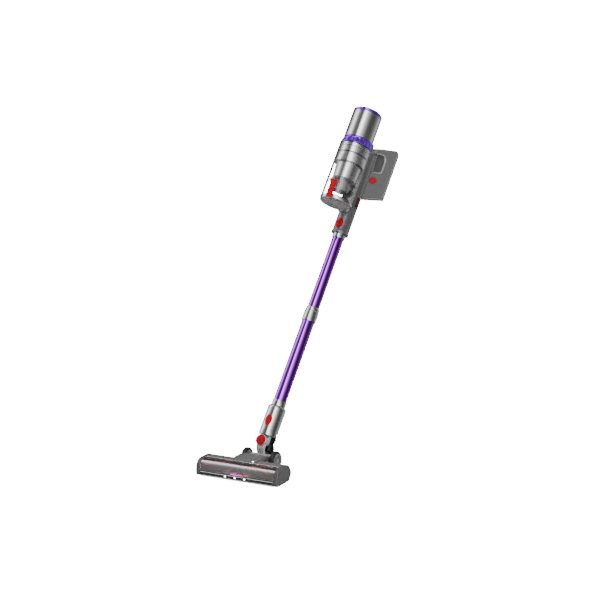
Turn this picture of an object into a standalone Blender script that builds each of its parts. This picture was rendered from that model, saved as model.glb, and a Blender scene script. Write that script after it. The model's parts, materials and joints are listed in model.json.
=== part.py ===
"""Cordless stick vacuum: floor head, steering neck, telescopic wand, dust bin, motor and handle.

Metres, +Z up. The origin is under the floor head's glide strip. +X runs along the floor head's
width and +Y points to its back. The stick leans back and is steered a little to +X, as in use.
"""
import math

import bmesh
import bpy
from mathutils import Matrix, Vector

# ---------------------------------------------------------------- driving dimensions
GAP = 0.0003                    # clearance between pieces that touch
LARGE = 32                      # sides of the bin, the motor and their neighbours
ROUND = 24                      # sides of the tubes and the neck
FINE = 16                       # sides of a small turned piece

LEAN = math.radians(29.2)       # how far the stick leans back
STEER = math.radians(7.0)       # how far it is steered to +X

# floor head, in world coordinates
HEAD_WIDTH = 0.256
CAP_THICK = 0.013
SOLE_Z = 0.002                  # underside of the sole
HEAD_TOP = 0.0485
HEAD_FRONT = -0.0605
HEAD_BACK = 0.0265
BRUSH_Y = -0.0325
BRUSH_Z = 0.0225
BRUSH_CORE_R = 0.013
BRISTLE_R = 0.0195
CHAMBER_R = 0.0235
COVER_END_Y = -0.0245           # where the clear cover ends on top of the head
MOTOR_BAY_Y = 0.0085
MOTOR_BAY_R = 0.0125
PULLEY_X = 0.1045               # inner face of the belt pulleys
PULLEY_W = 0.0065
BRUSH_PULLEY_R = 0.0095
MOTOR_PULLEY_R = 0.005
LIGHTS_X = (-0.034, -0.004, 0.026)
LIGHTS_Z = 0.011
BAR_TOP = 0.0175

# pitch axis and wheels
PITCH_Y = 0.0805
PITCH_Z = 0.028
WHEEL_R = 0.028
WHEEL_IN = 0.0392               # inner face of a wheel
WHEEL_OUT = 0.053
BARREL_R = 0.016
BARREL_HALF = 0.0298
EAR_OUT = 0.0385
AXLE_R = 0.003

# neck: distances from the pitch axis to the steer axis, then along the stick
STEER_RISE = 0.0487
KNUCKLE_R = 0.0172
PIVOT_CAP_R = 0.0152
NECK_R = 0.0266
NECK_BOTTOM = 0.0187
NECK_TOP = 0.107
NECK_BUTTON = (0.0605, 0.020, 0.032)        # height, width, length

# wand, heights along the stick from the steer axis
LOWER_R = 0.0189
UPPER_R = 0.0174
TUBE_WALL = 0.0012
LOWER_COLLAR_TOP = 0.1243
TELESCOPE_Z = 0.3706
TELESCOPE_TOP = 0.4137
TELESCOPE_R = 0.0213
UPPER_TUBE_Z = 0.2550           # lower end of the upper tube, inside the lower one
WAND_COLLAR_Z = 0.6363
WAND_COLLAR_R = 0.0192

# main body
DUCT_R = 0.025
SOCKET_Z = 0.650
SOCKET_R = 0.0197
DUCT_TOP = 0.915
DUCT_BORE_R = 0.0165
WAND_BUTTON = (0.677, 0.021, 0.031)         # height, width, length
BODY_Y = -0.084                 # axis of the bin and motor, in front of the duct
BIN_R = 0.0488
BIN_WALL = 0.002
BIN_Z = 0.719
BIN_TOP = 0.8925
LID_Z = 0.7105
LID_HINGE_Y = -0.0301
LID_HINGE_Z = 0.7145
RING_TOP = 0.9160
MOTOR_R = 0.0443
MOTOR_TOP = 0.9985
CAP_TOP = 1.0105
DISPLAY_R = 0.029
LATCH_PIVOT_Y = -0.1358
LATCH_PIVOT_Z = 0.7615

# handle block, outline in the stick's side plane (back, up)
BLOCK_HALF = 0.026
BLOCK_SIDE = 0.004              # side wall
BLOCK_SHELL = 0.003             # every other wall
BLOCK_FRONT = 0.006
BLOCK_BACK = 0.149
BLOCK_LOW = 0.7705              # lower edge at the front
BLOCK_LOW_SLOPE = 0.45
BLOCK_HIGH = 0.938              # upper edge at the front
BLOCK_HIGH_SLOPE = 0.497
PACK_FRONT = 0.034
PACK_HALF = 0.0205
PACK_HEIGHT = 0.060
PACK_FOOT = 0.0085
BATTERY_BUTTON = (0.034, 0.8495, 0.046, 0.017)      # back, up, length, height


# ---------------------------------------------------------------- materials
def material(name, color, roughness, metallic=0.0, alpha=1.0):
    mat = bpy.data.materials.new(name)
    mat.use_nodes = True
    shader = mat.node_tree.nodes["Principled BSDF"]
    shader.inputs["Base Color"].default_value = (*color, 1.0)
    shader.inputs["Roughness"].default_value = roughness
    shader.inputs["Metallic"].default_value = metallic
    shader.inputs["Alpha"].default_value = alpha
    mat.diffuse_color = (*color, alpha)
    return mat


FINISHES = {
    "silver": ((0.42, 0.42, 0.43), 0.28, 0.8, 1.0),
    "grey": ((0.16, 0.16, 0.17), 0.4, 0.2, 1.0),
    "dark": ((0.06, 0.06, 0.065), 0.45, 0.0, 1.0),
    "black": ((0.015, 0.015, 0.016), 0.5, 0.0, 1.0),
    "purple": ((0.16, 0.035, 0.55), 0.25, 0.9, 1.0),
    "purple_clear": ((0.25, 0.08, 0.75), 0.1, 0.0, 0.6),
    "red": ((0.65, 0.01, 0.012), 0.35, 0.0, 1.0),
    "clear": ((0.9, 0.92, 0.93), 0.05, 0.0, 0.25),
    "smoke": ((0.2, 0.2, 0.21), 0.08, 0.0, 0.5),
    "steel": ((0.6, 0.6, 0.61), 0.25, 1.0, 1.0),
    "rubber": ((0.02, 0.02, 0.02), 0.8, 0.0, 1.0),
    "felt": ((0.3, 0.3, 0.31), 0.95, 0.0, 1.0),
    "white": ((0.85, 0.86, 0.88), 0.4, 0.0, 1.0),
    "copper": ((0.55, 0.27, 0.12), 0.4, 0.9, 1.0),
    "board": ((0.03, 0.2, 0.09), 0.5, 0.0, 1.0),
}


# ---------------------------------------------------------------- modelling helpers
def finish_mesh(name, shape, smooth=35):
    """Turn a bmesh into a new object, faces outwards and round faces shaded smooth."""
    bmesh.ops.recalc_face_normals(shape, faces=shape.faces)
    mesh = bpy.data.meshes.new(name)
    shape.to_mesh(mesh)
    shape.free()
    mesh.shade_smooth()
    mesh.set_sharp_from_angle(angle=math.radians(smooth))
    thing = bpy.data.objects.new(name, mesh)
    bpy.context.scene.collection.objects.link(thing)
    return thing


def lathe(name, profile, steps=ROUND, axis="Z", at=(0.0, 0.0, 0.0)):
    """Turn a closed outline of (radius, height) points about an axis through a point."""
    shape = bmesh.new()
    rings = []
    for radius, height in profile:
        if radius < 1e-7:
            rings.append([shape.verts.new((0.0, 0.0, height))] * steps)
            continue
        ring = []
        for k in range(steps):
            turn = 2.0 * math.pi * k / steps
            spot = (radius * math.cos(turn), radius * math.sin(turn), height)
            ring.append(shape.verts.new(spot))
        rings.append(ring)
    for low, high in zip(rings, rings[1:] + rings[:1]):
        for k in range(steps):
            after = (k + 1) % steps
            corners = []
            for vert in (low[k], low[after], high[after], high[k]):
                if vert not in corners:
                    corners.append(vert)
            if len(corners) > 2:
                shape.faces.new(corners)
    turn = {"Z": Matrix(), "X": Matrix.Rotation(math.pi / 2, 4, "Y")}
    turn["Y"] = Matrix.Rotation(-math.pi / 2, 4, "X")
    bmesh.ops.transform(shape, matrix=Matrix.Translation(at) @ turn[axis], verts=shape.verts)
    return finish_mesh(name, shape)


def cylinder(name, radius, low, high, steps=FINE, axis="Z", at=(0.0, 0.0, 0.0), bevel=0.0):
    """A plain shaft from low to high along an axis through a point, with bevelled ends."""
    inner = radius - bevel
    profile = [(0.0, low), (inner, low), (radius, low + bevel), (radius, high - bevel)]
    profile += [(inner, high), (0.0, high)]
    if bevel == 0.0:
        profile = [(0.0, low), (radius, low), (radius, high), (0.0, high)]
    return lathe(name, profile, steps, axis, at)


def tube(name, outer, inner, low, high, steps=ROUND, bevel=0.0006, **where):
    """A plain tube from low to high."""
    lip = outer - bevel
    profile = [(inner, low), (lip, low), (outer, low + bevel), (outer, high - bevel)]
    profile += [(lip, high), (inner, high)]
    if bevel == 0.0:
        profile = [(inner, low), (outer, low), (outer, high), (inner, high)]
    return lathe(name, profile, steps, **where)


def prism(name, outline, low, high, axis="X", bevel=0.0, segments=1):
    """Extrude a flat outline from low to high; its points are the two other axes in order."""
    place = {
        "X": lambda a, b, t: (t, a, b),
        "Y": lambda a, b, t: (a, t, b),
        "Z": lambda a, b, t: (a, b, t),
    }[axis]
    shape = bmesh.new()
    ends = [[shape.verts.new(place(a, b, t)) for a, b in outline] for t in (low, high)]
    caps = [shape.faces.new(end) for end in ends]
    count = len(outline)
    for k in range(count):
        after = (k + 1) % count
        shape.faces.new((ends[0][k], ends[0][after], ends[1][after], ends[1][k]))
    if bevel:
        bmesh.ops.recalc_face_normals(shape, faces=shape.faces)
        rims = [edge for cap in caps for edge in cap.edges]
        bmesh.ops.bevel(
            shape, geom=rims, offset=bevel, segments=segments, profile=0.5, affect="EDGES"
        )
    return finish_mesh(name, shape)


def rounded(corners, steps=4):
    """Round the corners of an outline; each corner is (a, b, radius)."""
    points = []
    count = len(corners)
    for k, (a, b, radius) in enumerate(corners):
        here = Vector((a, b))
        back = (Vector(corners[k - 1][:2]) - here).normalized()
        ahead = (Vector(corners[(k + 1) % count][:2]) - here).normalized()
        if radius <= 0.0:
            points.append((a, b))
            continue
        half = math.acos(max(-1.0, min(1.0, back.dot(ahead)))) / 2.0
        centre = here + (back + ahead).normalized() * (radius / math.sin(half))
        start = here + back * (radius / math.tan(half)) - centre
        end = here + ahead * (radius / math.tan(half)) - centre
        sweep = math.atan2(start.x * end.y - start.y * end.x, start.dot(end))
        for j in range(steps + 1):
            turn = sweep * j / steps
            x = start.x * math.cos(turn) - start.y * math.sin(turn)
            y = start.x * math.sin(turn) + start.y * math.cos(turn)
            points.append((centre.x + x, centre.y + y))
    return points


def arc(centre, radius, first, last, steps):
    """Points along a round stretch of an outline, with the angles in degrees."""
    points = []
    for k in range(steps + 1):
        turn = math.radians(first + (last - first) * k / steps)
        points.append((centre[0] + radius * math.cos(turn), centre[1] + radius * math.sin(turn)))
    return points


def grown(outline, distance):
    """Move an outline's points outwards along their normals."""
    area = sum(a[0] * b[1] - b[0] * a[1] for a, b in zip(outline, outline[1:] + outline[:1]))
    side = 1.0 if area > 0.0 else -1.0
    points = []
    for k, here in enumerate(outline):
        before = Vector(outline[k - 1])
        after = Vector(outline[(k + 1) % len(outline)])
        run_in = (Vector(here) - before).normalized()
        run_out = (after - Vector(here)).normalized()
        normals = Vector((run_in.y, -run_in.x)) + Vector((run_out.y, -run_out.x))
        normal = normals.normalized() * side
        lean = max(0.5, Vector((run_out.y, -run_out.x)).dot(normals.normalized()))
        points.append((here[0] + normal.x * distance / lean, here[1] + normal.y * distance / lean))
    return points


def oval(a, b, width, height, steps=FINE, tilt=0.0):
    """Points round an oval."""
    points = []
    for k in range(steps):
        turn = 2.0 * math.pi * k / steps
        x = width / 2.0 * math.cos(turn)
        y = height / 2.0 * math.sin(turn)
        points.append((a + x - y * tilt, b + y + x * tilt))
    return points


def box(name, low, high, bevel=0.0):
    """A block between two corners."""
    outline = [(low[1], low[2]), (high[1], low[2]), (high[1], high[2]), (low[1], high[2])]
    return prism(name, outline, low[0], high[0], "X", bevel)


def combine(target, others, operation):
    """Join, cut or intersect with other shapes, which are used up."""
    for other in others:
        change = target.modifiers.new("shape", "BOOLEAN")
        change.operation = operation
        change.solver = "EXACT"
        change.object = other
        graph = bpy.context.evaluated_depsgraph_get()
        graph.update()
        mesh = bpy.data.meshes.new_from_object(target.evaluated_get(graph))
        old = target.data
        target.modifiers.clear()
        target.data = mesh
        bpy.data.meshes.remove(old)
        spare = other.data
        bpy.data.objects.remove(other)
        bpy.data.meshes.remove(spare)
    target.data.shade_smooth()
    target.data.set_sharp_from_angle(angle=math.radians(35))
    return target


def cut(target, *others):
    return combine(target, others, "DIFFERENCE")


def join(target, *others):
    return combine(target, others, "UNION")


def keep_inside(target, *others):
    return combine(target, others, "INTERSECT")


def frame(name, matrix, parent=None):
    """An empty that carries a local frame."""
    empty = bpy.data.objects.new(name, None)
    bpy.context.scene.collection.objects.link(empty)
    empty.parent = parent
    empty.matrix_local = matrix
    empty.hide_render = True
    return empty


def place(thing, parent, finish, origin=(0.0, 0.0, 0.0)):
    """Put a piece in its frame with its own origin at a point, and give it its material."""
    thing.data.transform(Matrix.Translation(-Vector(origin)))
    thing.parent = parent
    thing.location = origin
    thing.data.materials.clear()
    thing.data.materials.append(material(thing.name, *FINISHES[finish]))
    return thing


def block_low(back, rise=0.0):
    """Height of the handle block's slanted lower edge."""
    return BLOCK_LOW + (back - BLOCK_FRONT) * BLOCK_LOW_SLOPE + rise


def block_high(back, rise=0.0):
    """Height of the handle block's slanted upper edge."""
    return BLOCK_HIGH + (back - BLOCK_FRONT) * BLOCK_HIGH_SLOPE + rise


# ---------------------------------------------------------------- floor head
def head_outline():
    """The floor head's side outline (back, up), as seen on its end caps."""
    return rounded([
        (HEAD_FRONT, SOLE_Z, 0.005),
        (0.009, SOLE_Z, 0.010),
        (HEAD_BACK, 0.0235, 0.011),
        (0.008, HEAD_TOP, 0.013),
        (HEAD_FRONT + 0.0015, HEAD_TOP, 0.0255),
    ], 5)


def end_cap(name, side):
    inner = HEAD_WIDTH / 2 - CAP_THICK
    outer = HEAD_WIDTH / 2
    low, high = sorted((side * inner, side * outer))
    cap = prism(name, head_outline(), low, high, "X", 0.0016)
    socket = cylinder("socket", 0.0055, -0.0045, 0.0045, 16, "X", (side * inner, BRUSH_Y, BRUSH_Z))
    return cut(cap, socket)


def base_outline():
    """Section of the head's base: deck, back wall and sole round the brush chamber."""
    chamber = arc((BRUSH_Y, BRUSH_Z), CHAMBER_R, -60.5, 74.0, 12)
    top = HEAD_TOP - GAP
    outer = rounded([
        (chamber[0][0], SOLE_Z, 0.0),
        (0.009, SOLE_Z, 0.010),
        (HEAD_BACK, 0.0235, 0.011),
        (0.008, top, 0.013),
        (COVER_END_Y, top, 0.0),
    ], 6)
    return outer + [(COVER_END_Y, chamber[-1][1])] + chamber[::-1]


def head_base():
    half = HEAD_WIDTH / 2 - CAP_THICK - GAP
    base = prism("head_base", base_outline(), -half, half)
    ear = rounded([
        (0.006, 0.0045, 0.0), (0.070, 0.0055, 0.004),
        (PITCH_Y + 0.0135, PITCH_Z - 0.0130, 0.0125), (PITCH_Y + 0.0135, PITCH_Z + 0.0135, 0.0125),
        (0.062, 0.0405, 0.004), (0.006, 0.036, 0.0),
    ])
    base = join(base, prism("ears", ear, -EAR_OUT, EAR_OUT))
    slot = box("slot", (-0.0305, 0.0635, -0.01), (0.0305, 0.12, 0.08))
    bore = cylinder("bore", AXLE_R + GAP, -0.05, 0.05, 16, "X", (0.0, PITCH_Y, PITCH_Z))
    outlet = cylinder("outlet", 0.0125, -0.025, 0.09, FINE, "Y", (0.0, 0.0, 0.0235))
    bay = cylinder("bay", MOTOR_BAY_R, 0.046, 0.13, FINE, "X", (0.0, MOTOR_BAY_Y, BRUSH_Z))
    belt_room = box("belt_room", (0.1025, BRUSH_Y, 0.0112), (0.13, MOTOR_BAY_Y, 0.0338))
    return cut(base, slot, bore, outlet, bay, belt_room)


def rear_cover():
    """The grey cover on the deck between the wheels."""
    outline = rounded([
        (-0.0225, 0.040, 0.0), (0.0600, 0.040, 0.0), (0.0600, 0.0468, 0.004),
        (0.030, 0.0525, 0.010), (0.0, 0.0515, 0.006), (-0.0225, 0.0498, 0.0),
    ])
    cover = prism("rear_cover", outline, -EAR_OUT, EAR_OUT)
    under = prism("under", grown(head_outline(), GAP), -0.1, 0.1)
    block = box("block", (-0.1, 0.004, 0.0), (0.1, 0.064, 0.0408))
    return cut(cover, under, block)


def clear_cover():
    """The transparent cover, a curved sheet over the brush."""
    half = HEAD_WIDTH / 2 - CAP_THICK - GAP
    centre = (HEAD_FRONT + 0.0262, HEAD_TOP - 0.0257)
    end = COVER_END_Y - GAP
    outer = [(HEAD_FRONT + 0.0007, BAR_TOP + GAP)] + arc(centre, 0.0255, 180, 90, 12)
    inner = arc(centre, 0.0235, 90, 180, 12) + [(HEAD_FRONT + 0.0027, BAR_TOP + GAP)]
    outline = outer + [(end, outer[-1][1]), (end, inner[0][1])] + inner
    return prism("clear_cover", outline, -half, half)


def light_bar():
    """The dark strip along the front edge, with seats for the lights."""
    half = HEAD_WIDTH / 2 - CAP_THICK - GAP
    outline = rounded([
        (HEAD_FRONT, SOLE_Z, 0.0025), (-0.0505, SOLE_Z, 0.001), (-0.0505, 0.005, 0.001),
        (-0.0550, 0.008, 0.001), (-0.0565, BAR_TOP, 0.0005), (HEAD_FRONT, BAR_TOP, 0.0012),
    ], 3)
    bar = prism("light_bar", outline, -half, half)
    seats = []
    for x in LIGHTS_X:
        seats.append(cylinder("seat", 0.0032, -0.07, -0.050, 12, "Y", (x, 0.0, LIGHTS_Z)))
    groove = box("groove", (-half - 0.01, HEAD_FRONT - 0.001, 0.0147),
                 (half + 0.01, HEAD_FRONT + 0.0006, 0.0155))
    return cut(bar, *seats, groove)


def light_guide():
    """Three lenses on one light guide behind the light bar."""
    start, end = LIGHTS_X[0] - 0.006, LIGHTS_X[-1] + 0.006
    guide = box("light_guide", (start, -0.0543, 0.0095), (end, -0.0531, 0.0125))
    for x in LIGHTS_X:
        lens = cylinder("lens", 0.0028, HEAD_FRONT - 0.0004, -0.0536, 12, "Y",
                        (x, 0.0, LIGHTS_Z))
        guide = join(guide, lens)
    return guide


def glide_strip():
    """Soft strip under the sole, where the floor head rests behind the brush."""
    outline = rounded([
        (-0.005, 0.0, 0.0004), (0.005, 0.0, 0.0004),
        (0.005, SOLE_Z - GAP, 0.0), (-0.005, SOLE_Z - GAP, 0.0),
    ], 2)
    return prism("glide_strip", outline, -0.085, 0.085)


def brush_core():
    """Brush roller with its end journals and the belt pulley at its right end."""
    left, right = -0.1135, PULLEY_X - 0.001
    profile = [
        (0.0, left - 0.0040), (0.005, left - 0.0040), (0.005, left), (BRUSH_CORE_R - 0.0012, left),
        (BRUSH_CORE_R, left + 0.0012), (BRUSH_CORE_R, right), (0.0065, right),
        (0.0065, PULLEY_X), (BRUSH_PULLEY_R, PULLEY_X), (BRUSH_PULLEY_R, PULLEY_X + PULLEY_W),
        (0.005, PULLEY_X + PULLEY_W), (0.005, 0.1175), (0.0, 0.1175),
    ]
    return lathe("brush_core", profile, FINE, "X", (0.0, BRUSH_Y, BRUSH_Z))


def bristle_strip(name, start):
    """A bristle strip that winds to the middle of the roller and back, as a chevron."""
    shape = bmesh.new()
    stations = 24
    root = BRUSH_CORE_R + 0.0007
    half_length = 0.0995
    middle = -0.0065
    rings = []
    for k in range(stations + 1):
        along = -half_length + 2.0 * half_length * k / stations
        turn = start + math.radians(150.0) * abs(along) / half_length
        ring = []
        for radius, spread in ((root, -0.14), (BRISTLE_R, -0.09), (BRISTLE_R, 0.09), (root, 0.14)):
            spot = (middle + along, radius * math.cos(turn + spread),
                    radius * math.sin(turn + spread))
            ring.append(shape.verts.new(spot))
        rings.append(ring)
    for low, high in zip(rings, rings[1:]):
        for k in range(4):
            after = (k + 1) % 4
            shape.faces.new((low[k], low[after], high[after], high[k]))
    shape.faces.new(rings[0])
    shape.faces.new(rings[-1])
    move = Matrix.Translation((0.0, BRUSH_Y, BRUSH_Z))
    bmesh.ops.transform(shape, matrix=move, verts=shape.verts)
    return finish_mesh(name, shape)


def brush_motor():
    profile = [
        (0.0, 0.052), (0.004, 0.052), (0.004, 0.054), (0.0110, 0.054), (0.0118, 0.055),
        (0.0118, 0.094), (0.0110, 0.095), (0.0035, 0.095), (0.0035, 0.097), (0.0014, 0.097),
        (0.0014, 0.1085), (0.0, 0.1085),
    ]
    return lathe("brush_motor", profile, FINE, "X", (0.0, MOTOR_BAY_Y, BRUSH_Z))


def motor_pulley():
    low, high = PULLEY_X, PULLEY_X + PULLEY_W
    profile = [
        (0.0014 + GAP, low), (MOTOR_PULLEY_R, low), (MOTOR_PULLEY_R, high), (0.0014 + GAP, high),
    ]
    return lathe("motor_pulley", profile, FINE, "X", (0.0, MOTOR_BAY_Y, BRUSH_Z))


def belt_outline(extra):
    """Outline round both pulleys at a distance from their surfaces."""
    span = MOTOR_BAY_Y - BRUSH_Y
    big, small = BRUSH_PULLEY_R + extra, MOTOR_PULLEY_R + extra
    lean = math.degrees(math.acos((big - small) / span))
    front = arc((BRUSH_Y, BRUSH_Z), big, lean, 360.0 - lean, 14)
    back = arc((MOTOR_BAY_Y, BRUSH_Z), small, -lean, lean, 10)
    return front + back


def drive_belt():
    low, high = PULLEY_X + 0.0008, PULLEY_X + PULLEY_W - 0.0008
    belt = prism("drive_belt", belt_outline(0.0013), low, high)
    return cut(belt, prism("inside", belt_outline(GAP), low - 0.01, high + 0.01))


def wheel_hub(name, side):
    rim = 0.0215
    profile = [
        (AXLE_R + GAP, WHEEL_IN), (rim, WHEEL_IN), (rim, WHEEL_OUT - 0.001),
        (rim - 0.001, WHEEL_OUT), (0.0180, WHEEL_OUT), (0.0170, WHEEL_OUT - 0.0022),
        (0.0075, WHEEL_OUT - 0.0022), (0.0068, WHEEL_OUT - 0.0006), (0.0, WHEEL_OUT - 0.0006),
        (0.0, WHEEL_OUT - 0.0020), (AXLE_R + GAP, WHEEL_OUT - 0.0020),
    ]
    profile = [(radius, side * along) for radius, along in profile]
    return lathe(name, profile, FINE, "X", (0.0, PITCH_Y, PITCH_Z))


def tyre(name, side):
    inner = 0.0215 + GAP
    profile = [
        (inner, WHEEL_IN + 0.0005), (0.0262, WHEEL_IN + 0.0005), (WHEEL_R, WHEEL_IN + 0.003),
        (WHEEL_R, WHEEL_OUT - 0.0035), (0.0262, WHEEL_OUT - 0.0008), (inner, WHEEL_OUT - 0.0008),
    ]
    profile = [(radius, side * along) for radius, along in profile]
    return lathe(name, profile, ROUND, "X", (0.0, PITCH_Y, PITCH_Z))


def wheel_axle():
    end = WHEEL_OUT - 0.0025
    return cylinder("wheel_axle", AXLE_R, -end, end, 16, "X", (0.0, PITCH_Y, PITCH_Z), 0.0004)


def build_head():
    head = frame("floor_head_frame", Matrix())
    brush_axis = (0.0, BRUSH_Y, BRUSH_Z)
    motor_axis = (0.0, MOTOR_BAY_Y, BRUSH_Z)
    wheel_axis = (0.0, PITCH_Y, PITCH_Z)
    place(head_base(), head, "grey")
    place(rear_cover(), head, "grey")
    place(clear_cover(), head, "clear")
    place(end_cap("end_cap_left", -1), head, "grey")
    place(end_cap("end_cap_right", 1), head, "grey")
    place(light_bar(), head, "dark")
    place(light_guide(), head, "white")
    place(glide_strip(), head, "felt")
    place(brush_core(), head, "felt", brush_axis)
    for k in range(2):
        place(bristle_strip(f"bristle_strip_{k + 1}", math.pi * k), head, "red", brush_axis)
    place(brush_motor(), head, "steel", motor_axis)
    place(motor_pulley(), head, "steel", motor_axis)
    place(drive_belt(), head, "rubber")
    place(wheel_axle(), head, "steel", wheel_axis)
    for side, word in ((-1, "left"), (1, "right")):
        place(wheel_hub(f"wheel_hub_{word}", side), head, "grey", wheel_axis)
        place(tyre(f"tyre_{word}", side), head, "rubber", wheel_axis)


# ---------------------------------------------------------------- neck, in the pitch frame
def lower_neck():
    """Barrel on the wheel axle, tongue up to the steer pin and elbow for the hose."""
    neck = cylinder("lower_neck", BARREL_R, -BARREL_HALF, BARREL_HALF, FINE, "X", bevel=0.001)
    tongue = prism("tongue", [
        (-0.0125, 0.0260), (0.0125, 0.0260), (0.0145, STEER_RISE), (-0.0145, STEER_RISE),
    ], -0.0238, -0.0124, "Y")
    knuckle = cylinder("knuckle", KNUCKLE_R, -0.0240, -0.0122, ROUND, "Y",
                       (0.0, 0.0, STEER_RISE), 0.0012)
    web = prism("web", [
        (-0.0095, 0.0040), (-0.0095, 0.0110), (-0.0150, 0.0175), (-0.0234, 0.0255),
        (-0.0234, 0.0330), (-0.0126, 0.0330), (0.0040, 0.0150), (0.0040, 0.0040),
    ], -0.0118, 0.0118)
    elbow = prism("elbow", rounded([
        (-0.004, 0.0, 0.0), (0.016, -0.004, 0.004), (0.0335, 0.0130, 0.004),
        (0.0335, 0.0255, 0.001), (0.0055, 0.0255, 0.001), (0.0, 0.015, 0.0),
    ]), -0.0115, 0.0115, "X", 0.002)
    neck = join(neck, web, tongue, knuckle, elbow)
    axle_hole = cylinder("hole", AXLE_R + GAP, -0.04, 0.04, 16, "X")
    pin_hole = cylinder("hole", 0.0040 + GAP, -0.03, 0.0, 16, "Y", (0.0, 0.0, STEER_RISE))
    hose_hole = cylinder("hole", 0.0082, 0.0110, 0.03, 16, "Z", (0.0, 0.0195, 0.0))
    return cut(neck, axle_hole, pin_hole, hose_hole)


def steer_pin():
    return cylinder("steer_pin", 0.0040, -0.0240, 0.0006, 16, "Y", bevel=0.0005)


def pivot_cap():
    """Red cap on the steer pin, a low dome."""
    dome = [(PIVOT_CAP_R, -0.0243), (PIVOT_CAP_R, -0.0272), (PIVOT_CAP_R - 0.0010, -0.0284)]
    for k in range(1, 5):
        turn = math.radians(90.0) * k / 4
        radius = (PIVOT_CAP_R - 0.0010) * math.cos(turn)
        dome.append((radius, -0.0284 - 0.0016 * math.sin(turn)))
    return lathe("pivot_cap", [(0.0, -0.0243)] + dome, ROUND, "Y")


def neck_hose():
    """Ribbed hose behind the steer joint, in two lobes with a waist between them."""
    start, high = Vector((0.0150, 0.0330)), Vector((0.0320, 0.0200))
    low, end = Vector((0.0330, -0.0140)), Vector((0.0150, -0.0300))
    steps = 20
    shape = bmesh.new()
    rings = []
    for k in range(steps + 1):
        t = k / steps
        spot = start * (1 - t) ** 3 + high * 3 * t * (1 - t) ** 2
        spot += low * 3 * t ** 2 * (1 - t) + end * t ** 3
        along = (high - start) * (1 - t) ** 2 + (low - high) * 2 * t * (1 - t) + (end - low) * t ** 2
        along.normalize()
        lobe = abs(math.sin(2.0 * math.pi * t)) ** 0.6
        rib = 0.0007 * math.cos(math.pi * k)
        radius = 0.0088 + 0.0072 * lobe + rib * (0.2 + 0.8 * lobe)
        ring = []
        for j in range(FINE):
            turn = 2.0 * math.pi * j / FINE
            out = radius * math.sin(turn)
            ring.append(shape.verts.new(
                (radius * math.cos(turn), spot.x - along.y * out, spot.y + along.x * out)))
        rings.append(ring)
    for lower, upper in zip(rings, rings[1:]):
        for j in range(FINE):
            after = (j + 1) % FINE
            shape.faces.new((lower[j], lower[after], upper[after], upper[j]))
    shape.faces.new(rings[0])
    shape.faces.new(rings[-1])
    hose = finish_mesh("neck_hose", shape)
    return keep_inside(hose, box("ends", (-0.05, -0.05, -0.0228), (0.05, 0.08, 0.0285)))


def curved_button(name, axis, oval_points, centre, outer, inner):
    """A button whose face follows the round housing that it sits in."""
    reach = 0.04
    low, high = (-reach, 0.0) if axis == "Y" else (0.0, reach)
    button = prism(name, oval_points, low, high, axis)
    shell = tube("shell", outer, inner, centre - reach, centre + reach, LARGE, 0.0)
    return keep_inside(button, shell)


def button_seat(axis, oval_points, centre, floor):
    """The pocket that a curved button sits in, down to a round floor."""
    reach = 0.04
    low, high = (-reach, 0.0) if axis == "Y" else (0.0, reach)
    seat = prism("seat", grown(oval_points, 0.0005), low, high, axis)
    core = cylinder("core", floor, centre - reach, centre + reach, LARGE)
    return cut(seat, core)


# ---------------------------------------------------------------- wand, in the stick frame
def neck_button_outline():
    height, width, length = NECK_BUTTON
    return oval(0.0, height, width, length)


def neck_shell():
    """Neck round the wand's lower end, with the tongue that turns on the steer pin."""
    bore, seat_z = 0.0160, 0.0600
    profile = [
        (bore, NECK_BOTTOM), (NECK_R - 0.0015, NECK_BOTTOM), (NECK_R, NECK_BOTTOM + 0.0015),
        (NECK_R, NECK_TOP - 0.004), (NECK_R - 0.0045, NECK_TOP), (LOWER_R + GAP, NECK_TOP),
        (LOWER_R + GAP, seat_z), (bore, seat_z),
    ]
    shell = lathe("neck_shell", profile)
    tongue = box("tongue", (-0.0145, -0.0119, 0.0015), (0.0145, -0.0012, 0.0340))
    knuckle = cylinder("knuckle", 0.0152, -0.0117, -0.0014, FINE, "Y")
    rear = box("rear", (-0.04, 0.0010, 0.0), (0.04, 0.04, 0.0310))
    pin_hole = cylinder("hole", 0.0040 + GAP, -0.03, 0.01, 16, "Y")
    shell = join(shell, tongue, knuckle)
    seat = button_seat("Y", neck_button_outline(), NECK_BUTTON[0], 0.0222)
    return cut(shell, rear, pin_hole, seat)


def neck_release_button():
    outline = neck_button_outline()
    return curved_button("neck_release_button", "Y", outline, NECK_BUTTON[0], 0.0284, 0.0232)


def lower_collar():
    return tube("lower_collar", 0.0207, LOWER_R + GAP, NECK_TOP + GAP, LOWER_COLLAR_TOP)


def lower_tube():
    top = TELESCOPE_Z + 0.0145
    return tube("lower_tube", LOWER_R, LOWER_R - TUBE_WALL, 0.0603, top, ROUND, 0.0)


def telescope_collar():
    """Collar on the lower tube's end that guides the upper tube."""
    step = TELESCOPE_Z + 0.0150
    slide = UPPER_R + GAP
    profile = [
        (LOWER_R + GAP, TELESCOPE_Z), (TELESCOPE_R - 0.0008, TELESCOPE_Z),
        (TELESCOPE_R, TELESCOPE_Z + 0.001), (TELESCOPE_R, TELESCOPE_Z + 0.030),
        (TELESCOPE_R - 0.0010, TELESCOPE_Z + 0.0312), (TELESCOPE_R - 0.0012, TELESCOPE_TOP - 0.003),
        (UPPER_R + 0.0014, TELESCOPE_TOP), (slide, TELESCOPE_TOP), (slide, step),
        (LOWER_R + GAP, step),
    ]
    collar = lathe("telescope_collar", profile)
    ramp = prism("ramp", rounded([
        (0.0200, 0.3725, 0.0), (0.0235, 0.3725, 0.001), (0.0235, 0.4000, 0.002), (0.0200, 0.4035, 0.0),
    ]), -0.0085, 0.0085)
    collar = join(collar, ramp)
    room = box("room", (-0.0062, 0.0218, 0.3745), (0.0062, 0.03, 0.3955))
    return cut(collar, room)


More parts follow.
